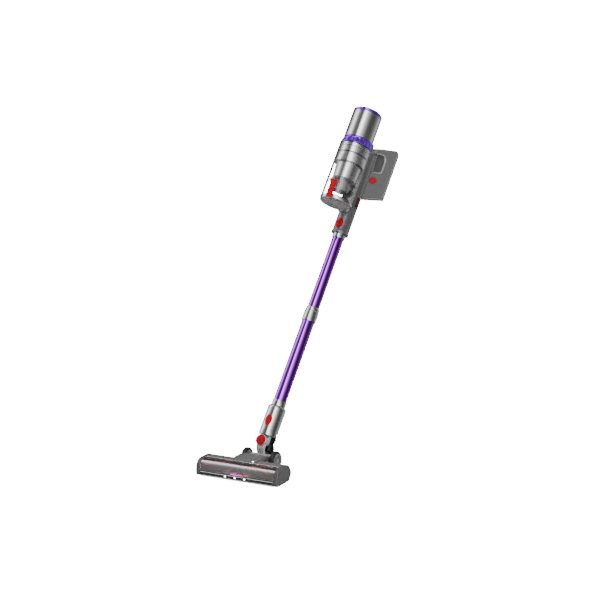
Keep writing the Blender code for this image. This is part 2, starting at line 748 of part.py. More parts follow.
def telescope_lock():
    """Thumb slider on the back of the telescopic collar."""
    return prism("telescope_lock", rounded([
        (0.0221, 0.3810, 0.0), (0.0250, 0.3810, 0.0012), (0.0268, 0.3880, 0.0008),
        (0.0250, 0.3950, 0.0012), (0.0221, 0.3950, 0.0),
    ], 2), -0.0057, 0.0057, "X", 0.0006)


def upper_tube():
    inner = UPPER_R - TUBE_WALL
    return tube("upper_tube", UPPER_R, inner, UPPER_TUBE_Z, 0.6660, ROUND, 0.0)


def wand_end_collar():
    inner = UPPER_R + GAP
    return tube("wand_end_collar", WAND_COLLAR_R, inner, WAND_COLLAR_Z, 0.6675, ROUND, 0.0008)


# ---------------------------------------------------------------- main body, in the stick frame
def wand_button_outline():
    height, width, length = WAND_BUTTON
    return oval(0.0, height, width, length)


def bin_slider_outline(low=0.742, high=0.771):
    return rounded([
        (-0.0110, low, 0.004), (0.0030, low, 0.004), (0.0030, high, 0.004), (-0.0110, high, 0.004),
    ], 4)


def chassis():
    """Wand socket and air duct in one piece, with the spine behind the bin and the motor arm."""
    outer = [
        (SOCKET_R, SOCKET_Z), (0.0256, SOCKET_Z), (0.0263, SOCKET_Z + 0.001),
        (0.0263, SOCKET_Z + 0.005), (DUCT_R - 0.0003, SOCKET_Z + 0.009), (DUCT_R, 0.735),
        (DUCT_R, DUCT_TOP), (0.0, DUCT_TOP), (0.0, 0.885), (DUCT_BORE_R, 0.885),
        (DUCT_BORE_R, 0.700), (SOCKET_R, 0.700),
    ]
    body = lathe("chassis", outer, LARGE)
    spine = box("spine", (-0.0150, -0.0385, 0.7300), (0.0150, -0.0190, 0.9148))
    arm = prism("arm", rounded([
        (-0.0560, 0.8955, 0.0), (-0.0100, 0.8955, 0.0), (-0.0100, DUCT_TOP, 0.0),
        (-0.0180, 0.9400, 0.004), (-0.0560, 0.9400, 0.0),
    ]), -0.0200, 0.0200, "X", 0.001)
    lug = prism("lug", rounded([
        (LID_HINGE_Y - 0.0034, LID_HINGE_Z - 0.0034, 0.003),
        (-0.0200, LID_HINGE_Z - 0.0034, 0.0), (-0.0200, 0.7330, 0.0),
        (LID_HINGE_Y - 0.0034, 0.7330, 0.0),
    ]), -0.0150, 0.0150)
    body = join(body, spine, arm, lug)
    bin_room = cylinder("room", BIN_R + GAP, 0.718, RING_TOP, LARGE, "Z", (0.0, BODY_Y, 0.0))
    lid_room = box("room", (-0.0093, -0.0400, LID_Z - 0.002), (0.0093, -0.0255, 0.7187))
    swing_room = box("room", (-0.0160, -0.0400, 0.70), (0.0160, -0.0341, 0.7192))
    motor_room = cylinder("room", MOTOR_R + GAP, 0.90, 0.96, LARGE, "Z", (0.0, BODY_Y, 0.0))
    pin_hole = cylinder("hole", 0.0015 + GAP, -0.03, 0.03, 12, "X",
                        (0.0, LID_HINGE_Y, LID_HINGE_Z))
    port = box("port", (-0.0100, -0.06, 0.8490), (0.0100, 0.0, 0.8750))
    stem_room = box("stem_room", (-0.0055, 0.0125, 0.8880), (0.0055, 0.0300, 0.9090))
    wand_seat = button_seat("Y", wand_button_outline(), WAND_BUTTON[0], 0.0211)
    slider_seat = button_seat("X", bin_slider_outline(0.736), 0.756, 0.0222)
    return cut(body, bin_room, lid_room, swing_room, motor_room, pin_hole, port, stem_room,
               wand_seat, slider_seat)


def wand_release_button():
    outline = wand_button_outline()
    return curved_button("wand_release_button", "Y", outline, WAND_BUTTON[0], 0.0268, 0.0221)


def bin_release_slider():
    outline = bin_slider_outline()
    return curved_button("bin_release_slider", "X", outline, 0.756, 0.0270, 0.0228)


def dust_bin():
    """Clear bin wall, open at both ends, with an inlet behind and lugs for the latch."""
    inner = BIN_R - BIN_WALL
    profile = [
        (inner, BIN_Z), (BIN_R + 0.0010, BIN_Z), (BIN_R + 0.0010, BIN_Z + 0.004),
        (BIN_R, BIN_Z + 0.005), (BIN_R, BIN_TOP), (inner, BIN_TOP),
    ]
    wall = lathe("dust_bin", profile, LARGE, "Z", (0.0, BODY_Y, 0.0))
    lugs = []
    for side in (-1, 1):
        low, high = sorted((side * 0.0132, side * 0.0158))
        lugs.append(prism("lug", rounded([
            (-0.1385, 0.7575, 0.0035), (-0.1385, 0.7655, 0.0035), (-0.1290, 0.7655, 0.0),
            (-0.1290, 0.7575, 0.0),
        ], 3), low, high))
    wall = join(wall, *lugs)
    hollow = cylinder("hollow", inner, BIN_Z - 0.01, BIN_TOP + 0.01, LARGE, "Z", (0.0, BODY_Y, 0.0))
    inlet = box("inlet", (-0.0095, -0.05, 0.8495), (0.0095, -0.02, 0.8745))
    behind = box("behind", (-0.0160, -0.0353, BIN_Z - 0.01), (0.0160, -0.02, BIN_Z + 0.02))
    pin_hole = cylinder("hole", 0.0014, -0.02, 0.02, 12, "X", (0.0, LATCH_PIVOT_Y, LATCH_PIVOT_Z))
    return cut(wall, hollow, inlet, behind, pin_hole)


def bin_latch():
    """Red latch on the front of the bin, in front of the lid; it swings out from its pivot."""
    outline = [
        (-0.1380, LID_Z - 0.0015), (-0.1345, LID_Z - 0.0015), (-0.1345, 0.7560),
        (-0.1340, 0.7655), (-0.1365, 0.7675), (-0.1383, 0.7640), (-0.1388, 0.7350),
    ]
    plate = prism("bin_latch", outline, -0.0122, 0.0122, "X", 0.0006)
    face = rounded([
        (-0.0122, 0.700, 0.0), (0.0122, 0.700, 0.0), (0.0122, 0.7672, 0.010), (-0.0122, 0.7672, 0.010),
    ], 5)
    plate = keep_inside(plate, prism("face", face, -0.15, -0.12, "Y"))
    pins = cylinder("pins", 0.0011, -0.0156, 0.0156, 12, "X", (0.0, LATCH_PIVOT_Y, LATCH_PIVOT_Z))
    return join(plate, pins)


def bin_lid_rim():
    """Ring of the hinged lid, with its knuckle between the chassis lugs."""
    profile = [
        (0.0400, LID_Z), (BIN_R - 0.001, LID_Z), (BIN_R, LID_Z + 0.001),
        (BIN_R, BIN_Z - GAP), (0.0400, BIN_Z - GAP),
    ]
    rim = lathe("bin_lid_rim", profile, LARGE, "Z", (0.0, BODY_Y, 0.0))
    knuckle = cylinder("knuckle", 0.0033, -0.0088, 0.0088, 16, "X", (0.0, LID_HINGE_Y, LID_HINGE_Z))
    bridge = box("bridge", (-0.0088, -0.0395, LID_Z + 0.001), (0.0088, LID_HINGE_Y, 0.7172))
    rim = join(rim, bridge, knuckle)
    hole = cylinder("hole", 0.0015 + GAP, -0.03, 0.03, 12, "X", (0.0, LID_HINGE_Y, LID_HINGE_Z))
    return cut(rim, hole)


def bin_lid_panel():
    profile = [
        (0.0, LID_Z + 0.0018), (0.0330, LID_Z + 0.0018), (0.0360, LID_Z + 0.0005),
        (0.0400 - GAP, LID_Z + 0.0005), (0.0400 - GAP, BIN_Z - 0.0018), (0.0, BIN_Z - 0.0018),
    ]
    return lathe("bin_lid_panel", profile, LARGE, "Z", (0.0, BODY_Y, 0.0))


def lid_seal():
    outer = BIN_R - BIN_WALL - 0.0007
    return tube("lid_seal", outer, outer - 0.0025, BIN_Z + 0.0001, BIN_Z + 0.0026, ROUND, 0.0,
                at=(0.0, BODY_Y, 0.0))


def lid_hinge_pin():
    return cylinder("lid_hinge_pin", 0.0015, -0.0148, 0.0148, 12, "X",
                    (0.0, LID_HINGE_Y, LID_HINGE_Z))


def cyclone_housing():
    """Silver housing at the top of the bin, with a seam round its middle."""
    inner = 0.0435
    profile = [
        (0.0385, 0.8330), (0.0448, 0.8330), (0.0455, 0.8340), (0.0455, 0.8610), (0.0448, 0.8615),
        (0.0448, 0.8630), (0.0455, 0.8635), (0.0455, 0.8910), (inner, 0.8910), (inner, 0.8350),
        (0.0385, 0.8350),
    ]
    housing = lathe("cyclone_housing", profile, LARGE, "Z", (0.0, BODY_Y, 0.0))
    inlet = box("inlet", (-0.0095, -0.06, 0.8495), (0.0095, -0.02, 0.8745))
    return cut(housing, inlet)


def shroud_cone():
    profile = [
        (0.0340, 0.7855), (0.0352, 0.7855), (0.0380, 0.8326), (0.0380, 0.8347), (0.0368, 0.8347),
        (0.0368, 0.8326),
    ]
    return lathe("shroud_cone", profile, LARGE, "Z", (0.0, BODY_Y, 0.0))


def mesh_skirt():
    profile = [
        (0.0335, 0.7852), (0.0352, 0.7852), (0.0398, 0.7775), (0.0398, 0.7755), (0.0385, 0.7755),
        (0.0335, 0.7835),
    ]
    return lathe("mesh_skirt", profile, LARGE, "Z", (0.0, BODY_Y, 0.0))


def dust_cone():
    profile = [
        (0.0205, 0.7500), (0.0225, 0.7500), (0.0285, 0.7830), (0.0332, 0.7830), (0.0332, 0.7845),
        (0.0265, 0.7845),
    ]
    return lathe("dust_cone", profile, ROUND, "Z", (0.0, BODY_Y, 0.0))


def pre_motor_filter():
    return tube("pre_motor_filter", 0.0280, 0.0180, 0.8380, 0.8905, FINE, 0.0,
                at=(0.0, BODY_Y, 0.0))


def motor_ring():
    """Translucent ring between the bin and the motor housing."""
    profile = [
        (0.0405, BIN_TOP + GAP), (BIN_R, BIN_TOP + GAP), (BIN_R, BIN_TOP + 0.0040),
        (MOTOR_R + 0.0010, RING_TOP - 0.0080), (MOTOR_R - 0.0006, RING_TOP - GAP),
        (0.0395, RING_TOP - GAP),
    ]
    ring = lathe("motor_ring", profile, LARGE, "Z", (0.0, BODY_Y, 0.0))
    behind = box("behind", (-0.0205, -0.0470, 0.89), (0.0205, -0.02, 0.93))
    return cut(ring, behind)


def motor_housing():
    """Silver motor housing: a cup with an open bottom and a filter opening on top."""
    inner = MOTOR_R - 0.0022
    profile = [
        (inner, RING_TOP), (MOTOR_R, RING_TOP), (MOTOR_R, MOTOR_TOP), (0.0365, MOTOR_TOP),
        (0.0365, MOTOR_TOP - 0.003), (inner, MOTOR_TOP - 0.003),
    ]
    return lathe("motor_housing", profile, LARGE, "Z", (0.0, BODY_Y, 0.0))


def suction_motor():
    profile = [
        (0.0, 0.9010), (0.0020, 0.9010), (0.0020, 0.9195), (0.0080, 0.9195), (0.0080, 0.9215),
        (0.0245, 0.9215), (0.0255, 0.9225), (0.0255, 0.9270), (0.0265, 0.9270), (0.0265, 0.9500),
        (0.0245, 0.9535), (0.0, 0.9535),
    ]
    return lathe("suction_motor", profile, FINE, "Z", (0.0, BODY_Y, 0.0))


def impeller():
    """Backplate and curved blades on the motor's shaft."""
    hub = [
        (0.0020 + GAP, 0.9020), (0.0075, 0.9020), (0.0100, 0.9150), (0.0340, 0.9170),
        (0.0340, 0.9185), (0.0020 + GAP, 0.9185),
    ]
    wheel = lathe("impeller", hub, FINE)
    blades = 7
    for k in range(blades):
        points = []
        for side in (-1, 1):
            for j in range(4):
                step = j if side < 0 else 3 - j
                radius = 0.0065 + (0.0325 - 0.0065) * step / 3
                turn = 2.0 * math.pi * k / blades + 0.9 * step / 3 + side * 0.0005 / radius
                points.append((radius * math.cos(turn), radius * math.sin(turn)))
        wheel = join(wheel, prism("blade", points, 0.9070, 0.9176, "Z"))
    wheel.data.transform(Matrix.Translation((0.0, BODY_Y, 0.0)))
    return wheel


def motor_mount():
    """Rubber ring that holds the motor in its housing, with holes for the exhaust air."""
    outer = MOTOR_R - 0.0022 - GAP
    mount = tube("motor_mount", outer, 0.0265 + GAP, 0.9300, 0.9340, ROUND, 0.0,
                 at=(0.0, BODY_Y, 0.0))
    holes = []
    for k in range(6):
        turn = 2.0 * math.pi * (k + 0.25) / 6
        spot = (0.0345 * math.cos(turn), BODY_Y + 0.0345 * math.sin(turn), 0.0)
        holes.append(cylinder("hole", 0.0050, 0.92, 0.94, 12, "Z", spot))
    return cut(mount, *holes)


def exhaust_filter():
    """Pleated filter ring that comes out with its cap."""
    pleats = 20
    outline = []
    for k in range(2 * pleats):
        radius = 0.0352 if k % 2 else 0.0330
        turn = math.pi * k / pleats
        outline.append((radius * math.cos(turn), BODY_Y + radius * math.sin(turn)))
    ring = prism("exhaust_filter", outline, 0.9600, MOTOR_TOP, "Z")
    core = cylinder("core", 0.0290, 0.95, 1.01, FINE, "Z", (0.0, BODY_Y, 0.0))
    return cut(ring, core)


def filter_cap():
    """Translucent cap over the exhaust filter, with a rounded edge and the display's seat."""
    edge = 0.0058
    profile = [(0.0, MOTOR_TOP + GAP), (MOTOR_R, MOTOR_TOP + GAP)]
    for radius, height in arc((MOTOR_R - edge, CAP_TOP - edge), edge, 0, 90, 5):
        profile.append((radius, height))
    seat = DISPLAY_R + GAP
    profile += [(seat, CAP_TOP), (seat, CAP_TOP - 0.0025), (0.0, CAP_TOP - 0.0025)]
    return lathe("filter_cap", profile, LARGE, "Z", (0.0, BODY_Y, 0.0))


def display_panel():
    return cylinder("display_panel", DISPLAY_R, CAP_TOP - 0.0025 + GAP, CAP_TOP + 0.0002, LARGE, "Z",
                    (0.0, BODY_Y, 0.0), 0.0004)


def block_outline(inset=0.0):
    """Side outline of the handle block (back, up), or of its hollow at an inset."""
    front, back = BLOCK_FRONT + inset, BLOCK_BACK - inset
    rise = inset * math.hypot(1.0, BLOCK_LOW_SLOPE)
    return rounded([
        (front, block_low(front, rise), max(0.0, 0.002 - inset)),
        (back, block_low(back, rise), max(0.0, 0.006 - inset)),
        (back, block_high(back, -rise), 0.022 - inset),
        (front, block_high(front, -rise), max(0.0, 0.003 - inset)),
    ], 6)


def finger_outline():
    """Side outline of the finger hole."""
    return rounded([
        (0.0100, 0.8675, 0.010), (0.0710, 0.8935, 0.014), (0.0710, 0.9490, 0.016),
        (0.0100, 0.9270, 0.006),
    ], 5)


def battery_button_outline(extra=0.0):
    back, up, length, height = BATTERY_BUTTON
    return oval(back, up, length + 2 * extra, height + 2 * extra, FINE, BLOCK_LOW_SLOPE)


def slanted_band(front, back, low, high):
    """Outline of a band that runs along the block's lower edge, between two heights over it."""
    return [
        (front, block_low(front, low)), (back, block_low(back, low)),
        (back, block_low(back, high)), (front, block_low(front, high)),
    ]


def block_hollow():
    """The space inside the handle block, round the finger hole's rim and the duct's sleeve."""
    half = BLOCK_HALF - BLOCK_SIDE
    hollow = prism("hollow", block_outline(BLOCK_SHELL), -half, half)
    rim = prism("rim", grown(finger_outline(), BLOCK_SHELL), -0.05, 0.05)
    sleeve = cylinder("sleeve", DUCT_R + BLOCK_SHELL, 0.70, 1.0, LARGE)
    return cut(hollow, rim, sleeve)


def handle_half(name, side):
    """One shell of the handle block, split down the middle and open below for the battery."""
    low, high = sorted((side * GAP / 2, side * BLOCK_HALF))
    half = prism(name, block_outline(), low, high)
    hole = prism("finger", finger_outline(), -0.05, 0.05)
    duct = cylinder("duct", DUCT_R + GAP, 0.70, 1.0, LARGE)
    foot = prism("foot", slanted_band(PACK_FRONT - 0.0005, 0.17, -0.02, PACK_FOOT + 0.0005),
                 -0.05, 0.05)
    half = cut(half, block_hollow(), hole, duct, foot)
    if side > 0:
        seat = prism("seat", battery_button_outline(0.0004), 0.0240, 0.05)
        half = cut(half, seat)
    return half


def battery_release_button():
    return prism("battery_release_button", battery_button_outline(), 0.0251, 0.0277, "X", 0.0007)


def trigger():
    """Trigger behind the duct, inside the finger hole, on a stem that slides in the duct."""
    outline = rounded([
        (0.0300, 0.8800, 0.0), (0.0350, 0.8790, 0.002), (0.0385, 0.8830, 0.002),
        (0.0372, 0.8960, 0.010), (0.0405, 0.9120, 0.003), (0.0300, 0.9120, 0.0),
    ], 3)
    pad = prism("trigger", outline, -0.0068, 0.0068, "X", 0.0015)
    return join(pad, box("stem", (-0.0050, 0.0170, 0.8890), (0.0050, 0.0320, 0.9080)))


def battery_pack():
    """Battery pack with the foot that closes the handle block, and a charging port."""
    cells = slanted_band(PACK_FRONT, 0.1400, 0.004, PACK_HEIGHT)
    body = prism("battery_pack", cells, -PACK_HALF, PACK_HALF)
    foot = slanted_band(PACK_FRONT, BLOCK_BACK + 0.02, 0.0, PACK_FOOT)
    body = join(body, prism("foot", foot, -BLOCK_HALF, BLOCK_HALF))
    body = keep_inside(body, prism("trim", block_outline(), -0.05, 0.05))
    port = box("port", (BLOCK_HALF - 0.004, 0.052, 0.77), (0.05, 0.064, 0.7965))
    return cut(body, port)


def control_board():
    """Circuit board between the battery pack and the finger hole."""
    outline = slanted_band(0.0450, 0.1250, PACK_HEIGHT + 0.0030, PACK_HEIGHT + 0.0046)
    return prism("control_board", outline, -0.016, 0.016)


def build_neck(pitch):
    place(lower_neck(), pitch, "silver")
    steer_place = Matrix.Translation((0.0, 0.0, STEER_RISE)) @ Matrix.Rotation(STEER, 4, "Y")
    stick = frame("stick_frame", steer_place, pitch)
    still = frame("steer_frame", Matrix.Translation((0.0, 0.0, STEER_RISE)), pitch)
    place(steer_pin(), still, "steel")
    place(pivot_cap(), still, "red")
    place(neck_hose(), still, "black")
    return stick


def build_wand(stick):
    place(neck_shell(), stick, "silver")
    place(neck_release_button(), stick, "red", (0.0, -NECK_R, NECK_BUTTON[0]))
    place(lower_collar(), stick, "silver")
    place(lower_tube(), stick, "purple")
    place(telescope_collar(), stick, "silver")
    place(telescope_lock(), stick, "dark", (0.0, 0.0250, 0.3880))
    place(upper_tube(), stick, "purple")
    place(wand_end_collar(), stick, "silver")


def build_body(stick):
    axis = (0.0, BODY_Y, 0.0)
    hinge = (0.0, LID_HINGE_Y, LID_HINGE_Z)
    place(chassis(), stick, "grey")
    place(wand_release_button(), stick, "red", (0.0, -DUCT_R, WAND_BUTTON[0]))
    place(bin_release_slider(), stick, "red", (DUCT_R, 0.0, 0.756))
    place(dust_bin(), stick, "clear")
    place(bin_latch(), stick, "red", (0.0, LATCH_PIVOT_Y, LATCH_PIVOT_Z))
    place(bin_lid_rim(), stick, "silver", hinge)
    place(bin_lid_panel(), stick, "smoke", hinge)
    place(lid_seal(), stick, "rubber", hinge)
    place(lid_hinge_pin(), stick, "steel", hinge)
    place(cyclone_housing(), stick, "silver")
    place(shroud_cone(), stick, "silver")
    place(mesh_skirt(), stick, "dark")
    place(dust_cone(), stick, "grey")
    place(pre_motor_filter(), stick, "white")
    place(motor_ring(), stick, "purple_clear")
    place(motor_housing(), stick, "silver")
    place(suction_motor(), stick, "copper")
    place(impeller(), stick, "silver", axis)
    place(motor_mount(), stick, "rubber")
    place(exhaust_filter(), stick, "white", axis)
    place(filter_cap(), stick, "purple_clear", axis)
    place(display_panel(), stick, "black", axis)
    place(handle_half("handle_left", -1), stick, "grey")
    place(handle_half("handle_right", 1), stick, "grey")
    place(trigger(), stick, "dark", (0.0, 0.0300, 0.8960))
    place(battery_pack(), stick, "grey")
    place(battery_release_button(), stick, "red", (BLOCK_HALF, *BATTERY_BUTTON[:2]))
    place(control_board(), stick, "board")


def main():
    for thing in list(bpy.data.objects):
        bpy.data.objects.remove(thing)
    build_head()
    tilt = Matrix.Translation((0.0, PITCH_Y, PITCH_Z)) @ Matrix.Rotation(-LEAN, 4, "X")
    pitch = frame("pitch_frame", tilt)
    stick = build_neck(pitch)
    build_wand(stick)
    build_body(stick)


main()
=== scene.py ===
"""Looks of the cordless stick vacuum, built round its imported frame.

Each group of pieces is modelled in the frame it belongs to: the floor head's, the neck's at its
pitch or its steer joint, or the stick's, where x is to the right, y to the back and z up the stick.
"""
import json
import math

import bmesh
import bpy
from mathutils import Matrix, Vector, noise


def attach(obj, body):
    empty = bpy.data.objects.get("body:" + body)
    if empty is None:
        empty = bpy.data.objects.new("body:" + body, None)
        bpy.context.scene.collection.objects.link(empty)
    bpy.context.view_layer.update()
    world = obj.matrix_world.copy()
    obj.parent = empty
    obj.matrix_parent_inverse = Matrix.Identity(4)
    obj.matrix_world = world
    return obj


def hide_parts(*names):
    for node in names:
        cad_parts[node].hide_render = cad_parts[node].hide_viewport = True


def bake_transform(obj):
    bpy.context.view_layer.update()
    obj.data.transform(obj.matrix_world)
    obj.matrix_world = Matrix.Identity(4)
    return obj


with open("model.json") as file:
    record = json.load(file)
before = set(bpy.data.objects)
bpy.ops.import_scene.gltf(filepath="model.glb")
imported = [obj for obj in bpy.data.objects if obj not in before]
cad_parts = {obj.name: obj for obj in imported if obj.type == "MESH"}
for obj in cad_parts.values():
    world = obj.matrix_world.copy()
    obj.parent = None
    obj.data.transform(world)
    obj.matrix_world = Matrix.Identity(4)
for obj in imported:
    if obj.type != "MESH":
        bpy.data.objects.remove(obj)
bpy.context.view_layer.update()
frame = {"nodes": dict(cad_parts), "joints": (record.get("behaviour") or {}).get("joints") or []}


# ---------------------------------------------------------------- frames and sizes
def axes(x, y, z, at):
    """A local frame from its three directions and its origin."""
    turn = Matrix((x, y, z)).transposed().to_4x4()
    return Matrix.Translation(at) @ turn


joints = {joint["name"]: joint for joint in frame["joints"]}
up_stick = Vector(joints["telescope_slide"]["axis"])
stick_side = Vector(joints["bin_lid_hinge"]["axis"])
steer_back = Vector(joints["steer_hinge"]["axis"])
steer_at = Vector(joints["steer_hinge"]["pos_m"])
pitch_at = Vector(joints["pitch_hinge"]["pos_m"])
across = Vector((1.0, 0.0, 0.0))

HEAD = Matrix()
PITCH = axes(across, steer_back, across.cross(steer_back), pitch_at)
STICK = axes(stick_side, steer_back, up_stick, steer_at)
STEER = axes(across, steer_back, across.cross(steer_back), steer_at)


def span(node, place=HEAD):
    """Lowest and highest corner of a CAD node in a local frame."""
    away = place.inverted()
    corners = [away @ vert.co for vert in frame["nodes"][node].data.vertices]
    low = Vector([min(corner[k] for corner in corners) for k in range(3)])
    high = Vector([max(corner[k] for corner in corners) for k in range(3)])
    return low, high


def radius_of(node, place=STICK):
    """Radius of a node that is round about the local z axis, from its width."""
    low, high = span(node, place)
    return (high.x - low.x) / 2.0


ROUND = 96                      # sides of a large turned piece
SMALL = 40                      # sides of a small one
GAP = 0.0003                    # between pieces that touch in the CAD


# ---------------------------------------------------------------- mesh helpers
def skin(shape, low, high):
    """Faces between two rings of vertices; vertices that both rings share make triangles."""
    for k in range(len(low)):
        after = (k + 1) % len(low)
        corners = list(dict.fromkeys((low[k], low[after], high[after], high[k])))
        if len(corners) > 2:
            shape.faces.new(corners)


def to_object(name, shape):
    bmesh.ops.recalc_face_normals(shape, faces=shape.faces)
    mesh = bpy.data.meshes.new(name)
    shape.to_mesh(mesh)
    shape.free()
    piece = bpy.data.objects.new(name, mesh)
    bpy.context.scene.collection.objects.link(piece)
    return piece


def turned(name, profile, steps=ROUND, axis="Z", at=(0.0, 0.0, 0.0), facets=None):
    """Turn a closed outline of (radius, height); facets may vary the radius round the turn."""
    shape = bmesh.new()
    rings = []
    for radius, height in profile:
        if radius < 1e-7:
            rings.append([shape.verts.new((0.0, 0.0, height))] * steps)
            continue
        ring = []
        for k in range(steps):
            turn = 2.0 * math.pi * k / steps
            reach = radius if facets is None else facets(radius, height, k)
            spot = (reach * math.cos(turn), reach * math.sin(turn), height)
            ring.append(shape.verts.new(spot))
        rings.append(ring)
    for low, high in zip(rings, rings[1:] + rings[:1]):
        skin(shape, low, high)
    turns = {
        "Z": Matrix(),
        "X": Matrix.Rotation(math.pi / 2, 4, "Y"),
        "Y": Matrix.Rotation(-math.pi / 2, 4, "X"),
    }
    bmesh.ops.transform(shape, matrix=Matrix.Translation(at) @ turns[axis], verts=shape.verts)
    return to_object(name, shape)


def smooth_outline(corners, steps=5):
    """Round the corners of an outline; each corner is (a, b, radius), or (a, b) for a sharp one."""
    points = []
    count = len(corners)
    for k, (a, b, *bend) in enumerate(corners):
        here = Vector((a, b))
        if not bend or bend[0] <= 0.0:
            points.append((a, b))
            continue
        radius = bend[0]
        back = (Vector(corners[k - 1][:2]) - here).normalized()
        ahead = (Vector(corners[(k + 1) % count][:2]) - here).normalized()
        half = math.acos(max(-1.0, min(1.0, back.dot(ahead)))) / 2.0
        centre = here + (back + ahead).normalized() * (radius / math.sin(half))
        start = here + back * (radius / math.tan(half)) - centre
        end = here + ahead * (radius / math.tan(half)) - centre
        sweep = math.atan2(start.x * end.y - start.y * end.x, start.dot(end))
        for j in range(steps + 1):
            turn = sweep * j / steps
            x = start.x * math.cos(turn) - start.y * math.sin(turn)
            y = start.x * math.sin(turn) + start.y * math.cos(turn)
            points.append((centre.x + x, centre.y + y))
    return points


def arc(centre, radius, first, last, steps):
    """Points of an arc between two angles in degrees."""
    points = []
    for k in range(steps + 1):
        turn = math.radians(first + (last - first) * k / steps)
        points.append((centre[0] + radius * math.cos(turn), centre[1] + radius * math.sin(turn)))
    return points


def grown(outline, distance):
    """Move an outline's points outwards along their normals, or inwards for a minus distance."""
    if distance == 0.0:
        return outline
    area = sum(a[0] * b[1] - b[0] * a[1] for a, b in zip(outline, outline[1:] + outline[:1]))
    side = 1.0 if area > 0.0 else -1.0
    points = []
    for k, here in enumerate(outline):
        run_in = (Vector(here) - Vector(outline[k - 1])).normalized()
        run_out = (Vector(outline[(k + 1) % len(outline)]) - Vector(here)).normalized()
        normals = Vector((run_in.y, -run_in.x)) + Vector((run_out.y, -run_out.x))
        normal = normals.normalized()
        lean = max(0.5, Vector((run_out.y, -run_out.x)).dot(normal))
        normal = normal * (side * distance / lean)
        points.append((here[0] + normal.x, here[1] + normal.y))
    return points


def oval(a, b, width, height, steps=SMALL, tilt=0.0):
    """Points of an ellipse, sheared by a slope where it has a tilt."""
    points = []
    for k in range(steps):
        turn = 2.0 * math.pi * k / steps
        x = width / 2.0 * math.cos(turn)
        y = height / 2.0 * math.sin(turn)
        points.append((a + x - y * tilt, b + y + x * tilt))
    return points


PLACES = {
    "X": lambda a, b, t: (t, a, b),
    "Y": lambda a, b, t: (a, t, b),
    "Z": lambda a, b, t: (a, b, t),
}


def loft(name, sections, axis="X", closed=False):
    """Skin between flat outlines with equal counts; each section is (position, outline)."""
    place = PLACES[axis]
    shape = bmesh.new()
    rings = [[shape.verts.new(place(a, b, t)) for a, b in outline] for t, outline in sections]
    pairs = list(zip(rings, rings[1:]))
    if closed:
        pairs.append((rings[-1], rings[0]))
    for low, high in pairs:
        skin(shape, low, high)
    if not closed:
        shape.faces.new(rings[0])
        shape.faces.new(rings[-1])
    return to_object(name, shape)


def prism(name, outline, low, high, axis="X"):
    return loft(name, [(low, outline), (high, outline)], axis)


def pillow(name, outline, low, high, axis="X", edge=0.001, steps=3, low_edge=True):
    """An extrusion with round edges at its ends."""
    sections = []
    for k in range(steps + 1):
        turn = math.radians(90.0) * k / steps
        sections.append((edge * (1.0 - math.sin(turn)), edge * (1.0 - math.cos(turn))))
    first = [(low + rise, grown(outline, -inset)) for rise, inset in sections[::-1]]
    if not low_edge:
        first = [(low, outline)]
    last = [(high - rise, grown(outline, -inset)) for rise, inset in sections]
    return loft(name, sorted(first) + sorted(last), axis)


def box(name, low, high):
    outline = [(low[1], low[2]), (high[1], low[2]), (high[1], high[2]), (low[1], high[2])]
    return prism(name, outline, low[0], high[0])


def rod(name, radius, low, high, axis="Z", at=(0.0, 0.0, 0.0), steps=SMALL, edge=0.0):
    profile = [(0.0, low), (radius - edge, low), (radius, low + edge), (radius, high - edge)]
    profile += [(radius - edge, high), (0.0, high)]
    if edge == 0.0:
        profile = [(0.0, low), (radius, low), (radius, high), (0.0, high)]
    return turned(name, profile, steps, axis, at)


def combine(target, others, operation):
    for other in others:
        change = target.modifiers.new("shape", "BOOLEAN")
        change.operation = operation
        change.solver = "EXACT"
        change.object = other
        graph = bpy.context.evaluated_depsgraph_get()
        graph.update()
        mesh = bpy.data.meshes.new_from_object(target.evaluated_get(graph))
        old = target.data
        target.modifiers.clear()
        target.data = mesh
        bpy.data.meshes.remove(old)
        spare = other.data
        bpy.data.objects.remove(other)
        bpy.data.meshes.remove(spare)
    return target


def cut(target, *others):
    return combine(target, others, "DIFFERENCE")


def join(target, *others):
    return combine(target, others, "UNION")


def keep_inside(target, *others):
    return combine(target, others, "INTERSECT")


def hoop(name, inner, outer, low, high, axis="Z", at=(0.0, 0.0, 0.0)):
    """A round band with square edges."""
    profile = [(inner, low), (outer, low), (outer, high), (inner, high)]
    return turned(name, profile, axis=axis, at=at)


def merge(name, pieces):
    """Put separate closed solids of one material into one piece."""
    shape = bmesh.new()
    for piece in pieces:
        shape.from_mesh(piece.data)
        spare = piece.data
        bpy.data.objects.remove(piece)
        bpy.data.meshes.remove(spare)
    return to_object(name, shape)


def put(piece, place, body, finish, node=None, slot=None, bevel=0.0, sharp=32.0):
    """Move a finished piece from its local frame to its body, and give it its material.

    It replaces a CAD node when it is given one; the slot argument is not used. A piece with no
    body stays unattached.
    """
    piece.data.transform(place)
    piece.data.shade_smooth()
    piece.data.set_sharp_from_angle(angle=math.radians(sharp))
    if bevel:
        edge = piece.modifiers.new("edges", "BEVEL")
        edge.width = bevel
        edge.segments = 2
        edge.limit_method = "ANGLE"
        edge.angle_limit = math.radians(sharp)
        edge.harden_normals = True
        edge.use_clamp_overlap = True
    piece.data.materials.clear()
    piece.data.materials.append(finish)
    if body:
        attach(piece, body)
    if node:
        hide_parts(node)


def on_head(piece, finish, node=None, **looks):
    put(piece, HEAD, "floor_head", finish, node, **looks)


def on_body(piece, finish, node=None, **looks):
    put(piece, STICK, "main_body", finish, node, **looks)


